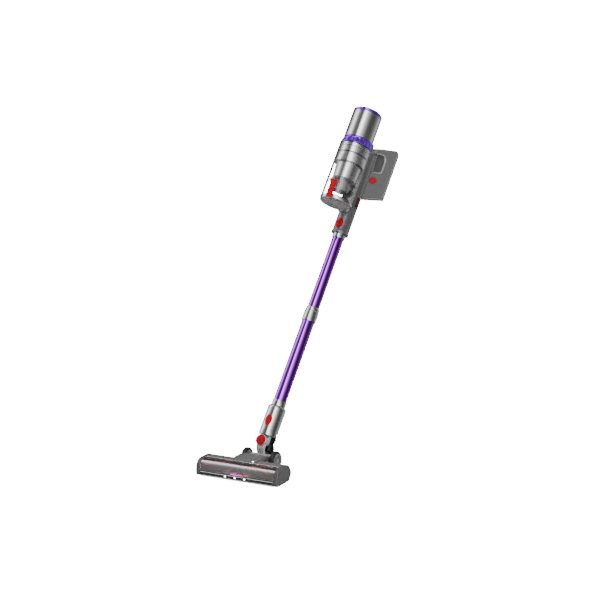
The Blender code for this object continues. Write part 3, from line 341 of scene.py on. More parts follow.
# ---------------------------------------------------------------- materials
class Net:
    """The nodes of a material or a world; an input takes a value or another node's output."""

    def __init__(self, owner):
        owner.use_nodes = True
        self.nodes = owner.node_tree.nodes
        self.links = owner.node_tree.links

    def feed(self, node, inputs):
        for place, value in inputs.items():
            if isinstance(value, bpy.types.NodeSocket):
                self.links.new(value, node.inputs[place])
            else:
                node.inputs[place].default_value = value

    def add(self, kind, inputs, output=0, **settings):
        """Add a node with its settings and inputs, and give back one of its outputs."""
        node = self.nodes.new("ShaderNode" + kind)
        for name, value in settings.items():
            setattr(node, name, value)
        self.feed(node, inputs)
        return node.outputs[output] if node.outputs else None

    def ramp(self, source, stops):
        """A colour ramp through (position, grey level or colour) pairs."""
        node = self.nodes.new("ShaderNodeValToRGB")
        marks = node.color_ramp.elements
        for k, (position, level) in enumerate(stops):
            mark = marks[k] if k < 2 else marks.new(1.0)
            color = (level, level, level) if isinstance(level, float) else level
            mark.position, mark.color = position, (*color, 1.0)
        self.feed(node, {"Fac": source})
        return node.outputs["Color"]


BUMP_HEIGHT = 0.0004            # metres from the grain's low to its high
CLOUD_SCALE = 38.0              # patches of slightly different colour, per metre


def moulded(name, color, roughness, metallic=0.0, grain=1400.0, depth=0.02, mottle=0.07,
            shift=0.06, coat=0.0, streak=(1.0, 1.0, 1.0), glow=0.0, sheen=0.0, specular=0.5):
    """A surface with a fine grain, slightly uneven colour and uneven gloss.

    grain is the fine bump's scale, depth its strength; mottle varies the colour and shift the
    roughness; streak stretches the grain along a local axis.
    """
    mat = bpy.data.materials.new(name)
    net = Net(mat)
    where = net.add("Mapping", {"Scale": streak, "Vector": net.add("TexCoord", {}, "Object")})
    cloud = net.add("TexNoise", {"Scale": CLOUD_SCALE, "Detail": 5.0, "Vector": where}, "Fac")
    fine = net.add("TexNoise", {"Scale": grain, "Detail": 3.0, "Vector": where}, "Fac")
    pale, dark = [(*[min(1.0, c * share) for c in color], 1.0)
                  for share in (1.0 + mottle, 1.0 - mottle)]
    tint = net.add("Mix", {"Factor": cloud, "A": dark, "B": pale}, "Result", data_type="RGBA")
    both = net.add("Math", {0: cloud, 1: fine}, operation="ADD")
    gloss = net.add("MapRange", {
        "Value": both, "From Max": 2.0, "To Min": max(0.02, roughness - shift),
        "To Max": roughness + shift})
    bump = net.add("Bump", {"Strength": depth, "Distance": BUMP_HEIGHT, "Height": fine}, "Normal")
    net.feed(net.nodes["Principled BSDF"], {
        "Base Color": tint, "Roughness": gloss, "Normal": bump, "Metallic": metallic,
        "Coat Weight": coat, "Coat Roughness": 0.12, "Specular IOR Level": specular,
        "Sheen Weight": sheen, "Emission Strength": glow, "Emission Color": (*color, 1.0)})
    return mat


def see_through(name, color, roughness, metallic, facing, grazing, edge=(0.0, 1.0), mottle=0.03):
    """Clear or tinted plastic: thin where it faces the eye, and denser towards its edges."""
    mat = moulded(name, color, roughness, metallic, 900.0, 0.01, mottle, 0.02)
    net = Net(mat)
    rim = net.add("LayerWeight", {"Blend": 0.5}, "Facing")
    cover = net.add("MapRange", {
        "Value": rim, "From Min": edge[0], "From Max": edge[1], "To Min": facing,
        "To Max": grazing}, interpolation_type="SMOOTHSTEP")
    net.feed(net.nodes["Principled BSDF"], {"Alpha": cover})
    return mat


def perforated(name, color, scale):
    """Dark metal mesh: small round holes over the whole surface."""
    mat = moulded(name, color, 0.45, 0.4, 1200.0, 0.03)
    net = Net(mat)
    where = net.add("TexCoord", {}, "Object")
    cells = net.add("TexVoronoi", {"Scale": scale, "Randomness": 0.15, "Vector": where})
    holes = net.ramp(cells, [(0.32, 0.004), (0.42, color)])
    net.feed(net.nodes["Principled BSDF"], {"Base Color": holes})
    return mat


# Colour, roughness, metallic, the grain's scale and depth, mottle and shift, in that order.
SILVER = moulded("silver_plastic", (0.50, 0.50, 0.495), 0.12, 0.95, 2600.0, 0.02, 0.04, 0.03)
GUNMETAL = moulded("gunmetal_plastic", (0.165, 0.165, 0.17), 0.38, 0.60, 2600.0, 0.04, 0.06, 0.05)
# A lighter copy of the silver plastic: painted light, for the bright wash on the cyclone inside the
# bin.
PAINTED_LIT_SILVER = moulded("silver_painted_lit", (0.64, 0.64, 0.635), 0.13, 0.88, 2600.0, 0.02, 0.04, 0.03)
# A lighter, more diffuse silver: painted highlight on rims and pale lines, and painted light on the
# lower neck.
PAINTED_HIGHLIGHT_SILVER = moulded("silver_painted_highlight", (0.60, 0.60, 0.60), 0.22, 0.45, 2600.0, 0.03, 0.04, 0.04)
GREY = moulded("grey_plastic", (0.130, 0.130, 0.132), 0.36, 0.08, 1500.0, 0.08, 0.06, 0.06,
               specular=0.28)
MIDGREY = moulded("mid_grey_plastic", (0.21, 0.21, 0.213), 0.32, 0.20, 1500.0, 0.06, 0.06, 0.06,
                  specular=0.3)
CAP = moulded("cap_plastic", (0.085, 0.085, 0.087), 0.30, 0.10, 1500.0, 0.08, 0.06, 0.06,
              specular=0.35)
DARK_PANEL = moulded("panel_plastic", (0.080, 0.080, 0.082), 0.38, 0.0, 1500.0, 0.10, 0.06, 0.06,
                     specular=0.2)
DARK = moulded("dark_plastic", (0.022, 0.022, 0.024), 0.30, 0.1, 1500.0, 0.12, 0.08, 0.08)
BLACK = moulded("black_gloss", (0.006, 0.006, 0.007), 0.12, 0.0, 900.0, 0.01, 0.05, 0.04, 0.8)
RED = moulded("red_plastic", (0.42, 0.003, 0.012), 0.42, 0.0, 1500.0, 0.03, 0.07, 0.05, specular=0.12)
RED_DARK = moulded("dark_red_plastic", (0.07, 0.002, 0.006), 0.22, 0.0, 1500.0, 0.02, 0.10, 0.04)
PURPLE = moulded("anodised_purple", (0.33, 0.05, 0.62), 0.11, 1.0, 2200.0, 0.04, 0.05, 0.04, 0.0,
                 (1.0, 0.5, 0.12))
VIOLET = see_through("violet_clear", (0.20, 0.035, 0.66), 0.13, 0.80, 0.96, 1.0, mottle=0.10)
CLEAR = see_through("clear_plastic", (0.48, 0.48, 0.49), 0.05, 0.9, 0.10, 0.95, (0.48, 0.80))
COVER = see_through("cover_plastic", (0.92, 0.84, 0.86), 0.06, 1.0, 0.30, 0.95, (0.60, 0.95))
SMOKE = see_through("smoked_plastic", (0.20, 0.20, 0.202), 0.18, 0.25, 0.88, 1.0, (0.3, 0.9))
STEEL = moulded("bright_steel", (0.55, 0.55, 0.56), 0.20, 1.0, 1800.0, 0.04, 0.04, 0.06)
# Pale matte strips on the floor head: painted highlight lines, not a chrome trim.
PAINTED_HIGHLIGHT_LINE = moulded("painted_highlight_line", (0.80, 0.80, 0.80), 0.25, 0.0, 1800.0, 0.01, 0.02, 0.03)
TYRE = moulded("tyre_rubber", (0.010, 0.010, 0.010), 0.60, 0.0, 900.0, 0.25, 0.15, 0.10)
HOSE = moulded("hose_rubber", (0.008, 0.008, 0.009), 0.30, 0.0, 700.0, 0.15, 0.15, 0.10)
FELT = moulded("grey_felt", (0.115, 0.115, 0.115), 0.93, 0.0, 520.0, 0.9, 0.35, 0.04, 0.0,
               (0.35, 1.0, 1.0), sheen=0.5)
BRISTLE = moulded("red_bristle", (0.72, 0.10, 0.13), 0.55, 0.0, 900.0, 0.4, 0.25, 0.10, sheen=0.2)
PAPER = moulded("filter_paper", (0.72, 0.72, 0.70), 0.90, 0.0, 700.0, 0.5, 0.08)
COPPER = moulded("copper_winding", (0.46, 0.20, 0.08), 0.35, 0.9, 600.0, 0.5, 0.20)
BOARD = moulded("circuit_board", (0.02, 0.16, 0.07), 0.42, 0.0, 300.0, 0.2, 0.30)
MESH = perforated("mesh_metal", (0.14, 0.14, 0.14), 900.0)
LAMP = moulded("lamp_white", (0.95, 0.97, 1.0), 0.30, 0.0, 900.0, 0.01, 0.01, 0.02, glow=9.0)
SIGN = moulded("display_white", (0.85, 0.92, 1.0), 0.30, 0.0, 900.0, 0.01, 0.01, 0.02, glow=4.0)
# Glowing violet for the thin strip over the front bar: painted light, not a lamp of the head.
PAINTED_VIOLET_GLOW = moulded("painted_violet_light", (0.42, 0.06, 1.0), 0.30, 0.0, 900.0, 0.01, 0.01, 0.02, glow=9.0)


# ---------------------------------------------------------------- floor head
cap_low, cap_high = span("end_cap_right")
cap_in = cap_low.x
cap_out = cap_high.x
head_front = cap_low.y
head_back = cap_high.y
sole = cap_low.z
deck = cap_high.z
base_half = span("head_base")[1].x
ear_out = span("rear_cover")[1].x
cover_low, cover_high = span("clear_cover")
brush_low, brush_high = span("bristle_strip_1")
core_low, core_high = span("brush_core")
brush_axis = Vector(joints["brush_spin"]["pos_m"])
pulley_axis = Vector(joints["motor_pulley_spin"]["pos_m"])
CHAMBER_R = 0.0235              # round the brush
AXLE_R = 0.0033                 # of the holes round the wheel axle


def head_profile(inset=0.0):
    """Side outline of the floor head (back, up), as seen on its end caps."""
    outline = smooth_outline([
        (head_front, sole, 0.0062),
        (0.009, sole, 0.012),
        (head_back, 0.0235, 0.0115),
        (0.008, deck, 0.014),
        (head_front + 0.0015, deck, 0.0255),
    ], 10)
    return grown(outline, -inset)


def end_cap(side):
    """Cap with a rounded rim round a sunk panel, and a stud in the panel."""
    word = "right" if side > 0 else "left"
    edge = 0.0026
    steps = [(0.0, 0.0), (0.0018, 0.0), (0.0022, 0.00035), (0.0026, 0.0)]
    sections = [(cap_in + rise, head_profile(inset)) for rise, inset in steps]
    for turn_deg in (0, 22, 45, 68, 90):
        turn = math.radians(turn_deg)
        sections.append((cap_out - edge * (1.0 - math.sin(turn)),
                         head_profile(edge * (1.0 - math.cos(turn)))))
    for drop, inset in ((0.0, 0.0038), (0.0007, 0.0044), (0.0007, 0.0050)):
        sections.append((cap_out - drop, head_profile(inset)))
    sections = [(side * at, outline) for at, outline in sections]
    cap = loft(f"cap_{word}", sections)
    socket = rod("socket", 0.0055, -0.0045, 0.0045, "X", (side * cap_in, *brush_axis.yz))
    on_head(cut(cap, socket), CAP, f"end_cap_{word}", sharp=25.0)
    panel = prism(f"cap_panel_{word}", head_profile(0.0056),
                  *sorted((side * (cap_out - 0.0009), side * (cap_out - 0.0004))))
    on_head(panel, DARK_PANEL, slot=f"end_cap_{word}", bevel=0.0001)
    stud = turned(f"cap_stud_{word}", [
        (0.0, side * (cap_out - 0.0005)), (0.0022, side * (cap_out - 0.0005)),
        (0.0020, side * (cap_out - 0.0001)), (0.0, side * cap_out),
    ], 32, "X", (0.0, -0.0360, 0.0120))
    on_head(stud, MIDGREY, slot=f"end_cap_{word}")


VENTS = 9
GROOVE_HALF = 0.0004            # half the width of a groove between mouldings


def deck_groove(x, front, back, low):
    return box("groove", (x - GROOVE_HALF, front, low), (x + GROOVE_HALF, back, deck + 0.01))


def head_base():
    """Deck, back wall and sole round the brush chamber, with the ears that carry the axle."""
    top = deck - GAP
    end = cover_high.y + GAP
    chamber = arc(brush_axis.yz, CHAMBER_R, -60.5, 74.0, 40)
    outer = smooth_outline([
        (chamber[0][0], sole), (0.009, sole, 0.012), (head_back, 0.0235, 0.0115),
        (0.008, top, 0.014), (end, top),
    ], 12)
    base = prism("base_shell", outer + [(end, chamber[-1][1])] + chamber[::-1],
                 -base_half, base_half)
    pitch_y, pitch_z = pitch_at.y, pitch_at.z
    ear = smooth_outline([
        (0.006, 0.0045), (0.070, 0.0055, 0.004),
        (pitch_y + 0.0135, pitch_z - 0.0130, 0.0125),
        (pitch_y + 0.0135, pitch_z + 0.0135, 0.0125),
        (0.062, 0.0405, 0.004), (0.006, 0.036),
    ], 10)
    base = join(base, prism("ears", ear, -ear_out, ear_out))
    slot = box("slot", (-0.0305, 0.0635, -0.01), (0.0305, 0.12, 0.08))
    bore = rod("bore", AXLE_R, -0.05, 0.05, "X", (0.0, pitch_y, pitch_z))
    outlet = rod("outlet", 0.0125, -0.025, 0.09, "Y", (0.0, 0.0, 0.0235))
    bay = rod("bay", 0.0125, 0.046, 0.13, "X", (0.0, *pulley_axis.yz))
    belt_room = box("belt_room", (0.1025, brush_axis.y, 0.0112), (0.13, pulley_axis.y, 0.0338))
    base = cut(base, slot, bore, outlet, bay, belt_room)
    grooves = [deck_groove(side * 0.0795, -0.03, 0.02, deck - 0.0008) for side in (-1, 1)]
    for k in range(VENTS):
        x = 0.022 * (k - VENTS // 2)
        grooves.append(box("vent", (x - 0.006, 0.0135, sole - 0.01), (x + 0.006, 0.0150, 0.0078)))
    on_head(cut(base, *grooves), GREY, "head_base", bevel=0.0004)


def rear_cover():
    """Cover on the deck between the wheels, with a raised middle and a small white light."""
    front = span("rear_cover")[0].y
    outline = smooth_outline([
        (front, 0.040), (0.0600, 0.040), (0.0600, 0.0468, 0.004),
        (0.030, 0.0525, 0.012), (0.0, 0.0515, 0.008), (front, 0.0498, 0.0012),
    ], 10)
    cover = pillow("deck_cover", outline, -ear_out, ear_out, edge=0.0011)
    under = prism("under", grown(head_profile(), GAP), -0.1, 0.1)
    block = box("block", (-0.1, 0.004, 0.0), (0.1, 0.064, 0.0408))
    cover = cut(cover, under, block)
    grooves = [deck_groove(side * 0.0235, front + 0.004, 0.045, 0.0500) for side in (-1, 1)]
    on_head(cut(cover, *grooves), GREY, "rear_cover", bevel=0.0004)
    lamp = turned("status_light", [
        (0.0, 0.0490), (0.0021, 0.0490), (0.0021, 0.0509), (0.0014, 0.0512), (0.0, 0.0514),
    ], 24, "Z", (0.030, -0.0180, 0.0))
    on_head(lamp, LAMP, slot="light_guide")


def clear_cover():
    """Transparent curved sheet over the brush, with a thicker lip at each edge."""
    centre = (head_front + 0.0262, deck - 0.0257)
    end = cover_high.y
    low = cover_low.z
    outer = [(head_front + 0.0007, low)] + arc(centre, 0.0255, 180, 90, 40)
    inner = arc(centre, 0.0237, 90, 180, 40) + [(head_front + 0.0025, low)]
    outline = outer + [(end, outer[-1][1]), (end, inner[0][1])] + inner
    on_head(prism("cover_sheet", outline, -base_half, base_half), COVER,
        "clear_cover", bevel=0.0003)
    # A pale strip along the cover's back edge: a painted highlight line.
    line = box("cover_highlight_line", (0.001 - base_half, end - 0.0016, outer[-1][1] - 0.0002),
               (base_half - 0.001, end - 0.0002, outer[-1][1] + 0.0002))
    on_head(line, PAINTED_HIGHLIGHT_LINE, slot="clear_cover", bevel=0.0001)


LENS_R = 0.0022
# Each groove holds a pale strip, a painted highlight line.
HIGHLIGHT_LINES = ((0.0148, 0.0009), (0.0056, 0.0008))    # height and half width of each line's groove


def light_bar():
    """Dark front strip with painted highlight lines along it and seats for three lights."""
    low, high = span("light_bar")
    guide_low, guide_high = span("light_guide")
    height = (guide_low.z + guide_high.z) / 2.0
    places = [guide_low.x + 0.006 + step * (guide_high.x - guide_low.x - 0.012) / 2.0
              for step in range(3)]
    outline = smooth_outline([
        (head_front, sole, 0.0028), (-0.0505, sole, 0.001), (-0.0505, 0.005, 0.001),
        (-0.0550, 0.008, 0.001), (-0.0565, high.z, 0.0005), (head_front, high.z, 0.0014),
    ], 6)
    bar = prism("front_bar", outline, low.x, high.x)
    seats = [rod("seat", 0.0027, -0.07, -0.050, "Y", (x, 0.0, height)) for x in places]
    lines = [box("line", (low.x - 0.01, head_front - 0.001, z - half),
                 (high.x + 0.01, head_front + 0.0006, z + half)) for z, half in HIGHLIGHT_LINES]
    on_head(cut(bar, *seats, *lines), DARK, "light_bar", bevel=0.0003)
    # Pale strips in the grooves: painted highlight lines.
    for k, (z, half) in enumerate(HIGHLIGHT_LINES):
        strip = box(f"painted_highlight_strip_{k + 1}", (low.x + 0.001, head_front + 0.0001, z - 0.0007),
                    (high.x - 0.001, head_front + 0.0008, z + 0.0007))
        on_head(strip, PAINTED_HIGHLIGHT_LINE, slot="light_bar", bevel=0.0001)
    back = box("lens_bar", (guide_low.x, guide_high.y - 0.0012, guide_low.z),
               (guide_high.x, guide_high.y, guide_high.z))
    dome = [(0.0, guide_high.y - 0.0006), (LENS_R, guide_high.y - 0.0006)]
    dome += [(LENS_R * math.cos(t), guide_low.y + 0.0010 - 0.0010 * math.sin(t))
             for t in (0.0, 0.4, 0.8, 1.2)]
    dome.append((0.0, guide_low.y))
    lenses = [turned("lens", dome, 32, "Y", (x, 0.0, height)) for x in places]
    on_head(merge("light_lenses", [back] + lenses), LAMP, "light_guide")
    # A thin strip that glows violet above the bar: painted light, not a lamp.
    glow = box("painted_glow_strip", (-0.020, -0.0560, high.z + 0.0001), (0.014, -0.0548, high.z + 0.0006))
    on_head(glow, PAINTED_VIOLET_GLOW, slot="light_guide", bevel=0.0001)


STATIONS = 110                  # rings along the felt roller
TUFTS = 170                     # along one strip, in rows
ROWS = 5
TUFT_REACH = 0.0193             # from the roller's axis to the tips
TUFT_HALF = 0.0007              # half a tuft's width at its root


def brush():
    """Felt roller with tufted red strips that wind to the middle and back."""
    radius = (core_high.z - core_low.z) / 2.0
    reach = (brush_high.x - brush_low.x) / 2.0
    middle = (brush_high.x + brush_low.x) / 2.0
    left, right = core_low.x + 0.004, core_high.x - 0.0140
    profile = [(0.0, left - 0.0040), (0.005, left - 0.0040), (0.005, left)]
    for k in range(STATIONS + 1):
        along = left + (right - left) * k / STATIONS
        edge = min(1.0, min(along - left, right - along) / 0.0012)
        profile.append((radius - 0.0012 * (1.0 - math.sqrt(max(0.0, edge))), along))
    profile += [(0.0065, right), (0.0065, right + 0.001), (0.0095, right + 0.001),
                (0.0095, right + 0.0075), (0.005, right + 0.0075), (0.005, core_high.x),
                (0.0, core_high.x)]

    def fluff(spread, along, k):
        if spread < radius - 0.0004 or spread > radius + 0.001:
            return spread
        spot = Vector((along * 900.0, math.cos(k) * 40.0, k * 0.9))
        return spread + 0.0005 * noise.noise(spot)

    core = turned("felt_roller", profile, 72, "X", (0.0, *brush_axis.yz), fluff)
    put(core, HEAD, "brush", FELT, "brush_core", sharp=80.0)
    for strip in range(2):
        tufts = bmesh.new()
        for k in range(TUFTS):
            along = middle - reach + 2.0 * reach * (k + 0.5) / TUFTS
            turn = math.pi * strip + math.radians(150.0) * abs(along - middle) / reach
            for row in range(ROWS):
                lean = 0.30 * noise.noise(Vector((k * 0.71, row * 3.3, strip * 9.1)))
                tuft(tufts, along, turn + (row - ROWS // 2) * 0.05, radius - 0.0006, lean)
        put(to_object(f"tufts_{strip + 1}", tufts), Matrix.Translation((0.0, *brush_axis.yz)),
            "brush", BRISTLE, f"bristle_strip_{strip + 1}", sharp=60.0)


def tuft(shape, along, angle, root, lean):
    """One bundle of bristles: a four-sided spike with a blunt end."""
    rings = []
    for radius, turn, half, shift in (
            (root, angle, TUFT_HALF, 0.0),
            (TUFT_REACH, angle + lean * 0.12, TUFT_HALF * 0.7, lean * 0.001)):
        spot = Vector((along + shift, radius * math.cos(turn), radius * math.sin(turn)))
        side = Vector((0.0, -math.sin(turn), math.cos(turn)))
        lift = Vector((1.0, 0.0, 0.0))
        rings.append([shape.verts.new(spot + lift * half * a + side * half * b)
                      for a, b in ((-1, -1), (1, -1), (1, 1), (-1, 1))])
    skin(shape, *rings)
    shape.faces.new(rings[0])
    shape.faces.new(rings[1])


SPOKES = 5


def wheels():
    """Hubs with a dished face and openings between spokes, and tyres with a grooved tread."""
    wheel_in, wheel_out = [corner.x for corner in span("wheel_hub_right")]
    tread = span("tyre_right")[1].z - pitch_at.z
    rim = 0.0215
    at = (0.0, *pitch_at.yz)
    for side, word in ((-1, "left"), (1, "right")):
        profile = [
            (AXLE_R, wheel_in), (rim, wheel_in), (rim, wheel_out - 0.001),
            (rim - 0.0004, wheel_out - 0.0003), (rim - 0.001, wheel_out), (0.0186, wheel_out),
            (0.0180, wheel_out - 0.0004), (0.0172, wheel_out - 0.0040),
            (0.0085, wheel_out - 0.0040), (0.0078, wheel_out - 0.0012),
            (0.0070, wheel_out - 0.0006), (0.0, wheel_out - 0.0006),
            (0.0, wheel_out - 0.0020), (AXLE_R, wheel_out - 0.0020),
        ]
        hub = turned(f"hub_{word}", [(r, side * x) for r, x in profile], 72, "X", at)
        spokes = []
        for k in range(SPOKES):
            turn = 2.0 * math.pi * k / SPOKES + 0.3
            spoke = box("spoke", (wheel_out - 0.0046, -0.0011, 0.0070),
                        (wheel_out - 0.0018, 0.0011, 0.0180))
            spoke.data.transform(Matrix.Rotation(turn, 4, "X"))
            spoke.data.transform(Matrix.Translation(at) @ Matrix.Scale(side, 4, (1.0, 0.0, 0.0)))
            if side < 0:
                spoke.data.flip_normals()
            spokes.append(spoke)
        put(join(hub, *spokes), HEAD, f"wheel_{word}", MIDGREY, f"wheel_hub_{word}", bevel=0.0002)
        inner = rim + GAP
        section = smooth_outline([
            (inner, wheel_in + 0.0005), (tread, wheel_in + 0.0005, 0.0026),
            (tread, wheel_out - 0.0008, 0.0032), (inner, wheel_out - 0.0008),
        ], 7)

        def grooved(radius, along, k):
            return radius - 0.0003 if radius > tread - 0.0008 and k % 4 == 0 else radius

        tyre = turned(f"tread_{word}", [(r, side * x) for r, x in section], 160, "X", at, grooved)
        put(tyre, HEAD, f"wheel_{word}", TYRE, f"tyre_{word}")


# ---------------------------------------------------------------- neck
STEER_PIN_R = 0.0043            # of the holes round the steer pin


def lower_neck():
    """Barrel round the axle, with a tapered web up to the steer knuckle and a hose elbow."""
    rise = (steer_at - pitch_at).length
    half = span("lower_neck", PITCH)[1].x
    profile = [(0.0, -half), (0.0146, -half), (0.0156, -half + 0.0003), (0.0160, -half + 0.0012)]
    profile += [(0.0160, half - 0.0012), (0.0156, half - 0.0003), (0.0146, half), (0.0, half)]
    neck = turned("neck_barrel", profile, ROUND, "X")
    tongue = pillow("tongue", [
        (-0.0115, 0.0260), (0.0115, 0.0260), (0.0135, rise), (-0.0135, rise),
    ], -0.0238, -0.0124, "Y", 0.0008)
    knuckle = turned("knuckle", [
        (0.0, -0.0240), (0.0146, -0.0240), (0.0154, -0.0236), (0.0158, -0.0228),
        (0.0158, -0.0134), (0.0154, -0.0126), (0.0146, -0.0122), (0.0, -0.0122),
    ], ROUND, "Y", (0.0, 0.0, rise))
    web = pillow("web", smooth_outline([
        (-0.0095, 0.0040), (-0.0095, 0.0110, 0.004), (-0.0150, 0.0175, 0.006),
        (-0.0234, 0.0255, 0.004), (-0.0234, 0.0330), (-0.0126, 0.0330),
        (0.0040, 0.0150, 0.002), (0.0040, 0.0040),
    ], 6), -0.0118, 0.0090, edge=0.0016, steps=4)
    elbow = pillow("elbow", smooth_outline([
        (-0.004, 0.0), (0.016, -0.004, 0.005), (0.0335, 0.0130, 0.006),
        (0.0335, 0.0255, 0.001), (0.0055, 0.0255, 0.001), (0.0, 0.015),
    ], 6), -0.0115, 0.0115, edge=0.0022, steps=4)
    neck = join(neck, web, tongue, knuckle)
    axle_hole = rod("hole", AXLE_R, -0.04, 0.04, "X")
    pin_hole = rod("hole", STEER_PIN_R, -0.03, 0.0, "Y", (0.0, 0.0, rise))
    hose_hole = rod("hole", 0.0082, 0.0110, 0.03, "Z", (0.0, 0.0195, 0.0))
    rings = [hoop("groove", 0.0157, 0.02, side * 0.0215 - 0.0004, side * 0.0215 + 0.0004, "X")
             for side in (-1, 1)]
    # The lower neck takes the lighter, more diffuse silver: painted light, so it reads bright.
    put(cut(neck, axle_hole, pin_hole, *rings), PITCH, "lower_neck", PAINTED_HIGHLIGHT_SILVER, "lower_neck",
        bevel=0.0003)
    barrel = rod("barrel", 0.0161, -0.04, 0.04, "X", steps=ROUND)
    front = box("front", (-0.04, -0.04, -0.04), (0.04, 0.0043, 0.06))
    put(cut(elbow, hose_hole, barrel, front), PITCH, "lower_neck", TYRE, slot="lower_neck",
        bevel=0.0003)


def pivot_cap():
    """Domed red cap inside a bright rim, a little wider than the CAD's."""
    reach = 1.10 * radius_of("pivot_cap", STEER)
    dome = [(0.0, -0.0245), (reach - 0.0018, -0.0245), (reach - 0.0018, -0.0280)]
    for k in range(13):
        turn = math.radians(90.0) * k / 12
        dome.append(((reach - 0.0022) * math.cos(turn), -0.0283 - 0.0017 * math.sin(turn)))
    put(turned("steer_cap", dome, ROUND, "Y"), STEER, "lower_neck", RED, "pivot_cap")
    rim = [(reach - 0.0017, -0.0243), (reach - 0.0002, -0.0243), (reach, -0.0248),
           (reach, -0.0276), (reach - 0.0004, -0.0285), (reach - 0.0010, -0.0287),
           (reach - 0.0017, -0.0283)]
    put(turned("steer_cap_rim", rim, ROUND, "Y"), STEER, "lower_neck", SILVER, slot="pivot_cap")


def neck_hose():
    """Ribbed hose behind the steer joint, in two lobes."""
    start, high = Vector((0.0150, 0.0330)), Vector((0.0320, 0.0200))
    low, end = Vector((0.0330, -0.0140)), Vector((0.0150, -0.0300))
    sections, sides, ribs = 160, 56, 15.0
    shape = bmesh.new()
    rings = []
    for k in range(sections + 1):
        t = 0.055 + 0.875 * k / sections
        spot = start * (1 - t) ** 3 + high * 3 * t * (1 - t) ** 2
        spot += low * 3 * t ** 2 * (1 - t) + end * t ** 3
        along = (high - start) * (1 - t) ** 2 + (low - high) * 2 * t * (1 - t)
        along += (end - low) * t ** 2
        along.normalize()
        lobe = abs(math.sin(2.0 * math.pi * t)) ** 0.55
        rib = 0.0009 * math.cos(2.0 * math.pi * ribs * t)
        radius = 0.0088 + 0.0068 * lobe + rib * (0.25 + 0.75 * lobe)
        ring = []
        for j in range(sides):
            turn = 2.0 * math.pi * j / sides
            out = radius * math.sin(turn)
            ring.append(shape.verts.new(
                (1.16 * radius * math.cos(turn), spot.x - along.y * out, spot.y + along.x * out)))
        rings.append(ring)
    for lower, upper in zip(rings, rings[1:]):
        skin(shape, lower, upper)
    shape.faces.new(rings[0])
    shape.faces.new(rings[-1])
    hose = to_object("ribbed_hose", shape)
    hose = keep_inside(hose, box("ends", (-0.05, -0.05, -0.0228), (0.05, 0.08, 0.0285)))
    put(hose, STEER, None, HOSE, "neck_hose", sharp=60.0)
    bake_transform(hose)


def curved_button(name, axis, outline, outer, inner, body, finish):
    """A button whose face follows the round housing it sits in, with a rounded edge."""
    middle = (sum(a for a, b in outline) / len(outline), sum(b for a, b in outline) / len(outline))

    def shrunk(share):
        return [(middle[0] + (a - middle[0]) * share, middle[1] + (b - middle[1]) * share)
                for a, b in outline]

    levels = [(inner, shrunk(share)) for share in (0.25, 0.5, 0.75)] + [(inner, outline)]
    levels += [(outer - drop, grown(outline, -inset)) for drop, inset in (
        (0.0012, 0.0), (0.0006, 0.0002), (0.0002, 0.0006), (0.0, 0.0012))]
    levels += [(outer, shrunk(share)) for share in (0.72, 0.48, 0.24)]
    shape = bmesh.new()
    rings = []
    for radius, points in levels:
        ring = []
        for a, b in points:
            out = math.sqrt(radius * radius - a * a)
            ring.append(shape.verts.new((a, -out, b) if axis == "Y" else (out, a, b)))
        rings.append(ring)
    for low, high in zip(rings, rings[1:]):
        skin(shape, low, high)
    shape.faces.new(rings[0])
    shape.faces.new(rings[-1])
    put(to_object(name, shape), STICK, body, finish, body, sharp=50.0)


def button_seat(axis, outline, centre, floor):
    """Room for a button in a round housing, down to a radius."""
    reach = 0.04
    low, high = (-reach, 0.0) if axis == "Y" else (0.0, reach)
    seat = prism("seat", grown(outline, 0.0005), low, high, axis)
    return cut(seat, rod("core", floor, centre - reach, centre + reach, steps=ROUND))


NECK_BUTTON = oval(0.0, 0.0605, 0.020, 0.032, 64)
WAND_BUTTON = oval(0.0, 0.677, 0.021, 0.031, 64)


def slider_outline(low=0.742):
    return smooth_outline([
        (-0.0110, low, 0.004), (0.0030, low, 0.004), (0.0030, 0.771, 0.004),
        (-0.0110, 0.771, 0.004),
    ], 8)


def neck_shell():
    """Neck round the wand's lower end, with a soft shoulder and the tongue of the steer joint."""
    high = span("neck_shell", STICK)[1].z
    bottom, bore, outer, tube = 0.0187, 0.0160, 0.0266, 0.0192
    profile = [(bore, bottom), (outer - 0.0024, bottom), (outer - 0.0008, bottom + 0.0006),
               (outer - 0.0001, bottom + 0.0022), (outer, 0.050), (outer, high - 0.0075)]
    for turn_deg in (15, 30, 45, 60, 75, 90):
        turn = math.radians(turn_deg)
        profile.append((outer - 0.0058 * (1.0 - math.cos(turn)),
                        high - 0.0075 * (1.0 - math.sin(turn))))
    profile += [(tube, high), (tube, 0.0600), (bore, 0.0600)]
    shell = turned("neck_body", profile)
    tongue = pillow("tongue", [(-0.0119, 0.0015), (-0.0012, 0.0015), (-0.0012, 0.0340),
                               (-0.0119, 0.0340)], -0.0145, 0.0145, edge=0.0008)
    knuckle = rod("knuckle", 0.0152, -0.0117, -0.0014, "Y", steps=ROUND, edge=0.0005)
    rear = pillow("rear", [(0.0010, -0.02), (0.04, -0.02), (0.04, 0.0310), (0.0010, 0.0310)],
                  -0.04, 0.04, edge=0.001)
    pin_hole = rod("hole", STEER_PIN_R, -0.03, 0.01, "Y")
    seat = button_seat("Y", NECK_BUTTON, 0.0605, 0.0222)
    seam = hoop("seam", outer - 0.0003, 0.04, 0.0340, 0.0346)
    shell = cut(join(shell, tongue, knuckle), rear, pin_hole, seat, seam)
    put(shell, STICK, "lower_wand", SILVER, "neck_shell", bevel=0.0003)


LOWER_R = radius_of("lower_tube")
UPPER_R = radius_of("upper_tube")
TUBE_WALL = 0.0012


